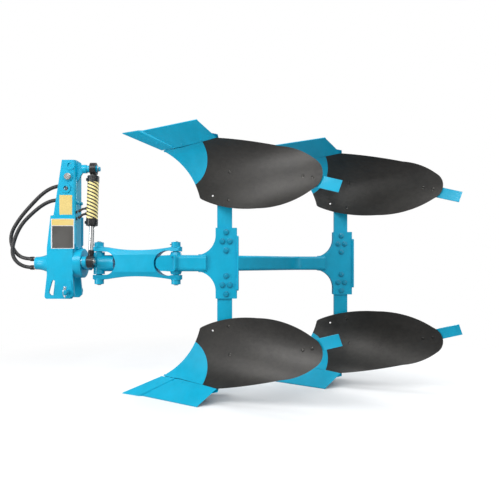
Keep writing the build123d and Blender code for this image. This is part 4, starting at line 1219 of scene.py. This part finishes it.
@dataclass
class Studio:
    """Pale floor, soft lights and the camera of the photo."""

    eye: Vector = field(default_factory=lambda: at(0, -2855, 0))
    lens: float = 37.44
    horizon: float = 0.0264
    floor_half: float = 14.0
    sky_strength: float = 0.42

    def build(self) -> None:
        """Builds floor, lights, sky and camera."""
        self.floor()
        self.lights()
        self.sky()
        self.camera()

    def floor(self) -> None:
        """Lays the floor."""
        mesh = bmesh.new()
        bmesh.ops.create_grid(mesh, x_segments=1, y_segments=1, size=self.floor_half)
        data = bpy.data.meshes.new("floor")
        mesh.to_mesh(data)
        mesh.free()
        floor = bpy.data.objects.new("floor", data)
        data.materials.append(PAPER.material())
        bpy.context.scene.collection.objects.link(floor)

    def light(self, name: str, spot: Vector, target: Vector, size: tuple[float, float],
              power: float) -> None:
        """Adds one soft light.

        Args:
            name: its name.
            spot: where it stands.
            target: what it points at.
            size: its width and height, in metres.
            power: in watts.
        """
        data = bpy.data.lights.new(name, "AREA")
        data.shape = "RECTANGLE"
        data.size, data.size_y = size
        data.energy = power
        lamp = bpy.data.objects.new(name, data)
        lamp.location = spot
        lamp.rotation_euler = (target - spot).to_track_quat("-Z", "Y").to_euler()
        bpy.context.scene.collection.objects.link(lamp)

    def lights(self) -> None:
        """Places key, front, fill, top and back lights, and two panels that the mouldboards mirror."""
        middle = Vector((0, 0, 0.7))
        self.light("key", Vector((-1.9, -3.2, 3.3)), middle, (1.7, 1.7), 68.0)
        self.light("front", Vector((0.7, -3.9, 3.7)), middle, (1.8, 1.8), 62.0)
        self.light("fill", Vector((3.2, -3.4, 1.6)), middle, (2.6, 2.6), 26.0)
        self.light("top", Vector((0.3, 0.2, 4.0)), middle, (2.8, 2.8), 92.0)
        self.light("rim", Vector((2.4, 3.2, 2.2)), middle, (1.6, 1.6), 46.0)
        self.light("high_panel", Vector((-2.75, -1.30, 1.65)), Vector((0.2, -0.3, 0.4)), (0.9, 0.9), 18.0)
        self.light("low_panel", Vector((-2.75, -1.70, 0.42)), Vector((0.2, -0.3, 1.1)), (0.8, 0.7), 22.0)

    def sky(self) -> None:
        """White surroundings for the camera, softer ones for the light."""
        world = bpy.data.worlds.new("studio")
        world.use_nodes = True
        tree = world.node_tree
        tree.nodes.clear()
        out = tree.nodes.new("ShaderNodeOutputWorld")
        mix = tree.nodes.new("ShaderNodeMixShader")
        seen = tree.nodes.new("ShaderNodeBackground")
        soft = tree.nodes.new("ShaderNodeBackground")
        path = tree.nodes.new("ShaderNodeLightPath")
        seen.inputs["Color"].default_value = (1, 1, 1, 1)
        soft.inputs["Color"].default_value = (0.92, 0.96, 1.0, 1)
        soft.inputs["Strength"].default_value = self.sky_strength
        tree.links.new(path.outputs["Is Camera Ray"], mix.inputs[0])
        tree.links.new(soft.outputs[0], mix.inputs[1])
        tree.links.new(seen.outputs[0], mix.inputs[2])
        tree.links.new(mix.outputs[0], out.inputs["Surface"])
        bpy.context.scene.world = world

    def camera(self) -> None:
        """Places the camera level with the turnover axis, square to the plough."""
        data = bpy.data.cameras.new("camera")
        data.lens = self.lens
        data.shift_y = self.horizon
        data.clip_end = 60.0
        camera = bpy.data.objects.new("camera", data)
        camera.location = self.eye
        camera.rotation_euler = (math.pi / 2, 0, 0)
        bpy.context.scene.collection.objects.link(camera)
        bpy.context.scene.camera = camera


def main() -> None:
    """Dresses the plough and sets up the studio."""
    logging.basicConfig(level=logging.INFO)
    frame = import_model()
    scene = bpy.context.scene
    scene.view_settings.view_transform = "Standard"
    dresser = Dresser(frame["nodes"])
    dresser.dress(RUBBER, "hose_outer", "hose_inner", edge=0.0)
    for kind in (Headstock, Cylinder, Linkage, MainFrame, PloughBodies):
        part = kind(dresser)
        part.dress()
        part.build()
        LOG.info("%s is dressed and built", kind.__name__)
    Hoses().build()
    dresser.check()
    Studio().build()


if __name__ == "__main__":
    main()
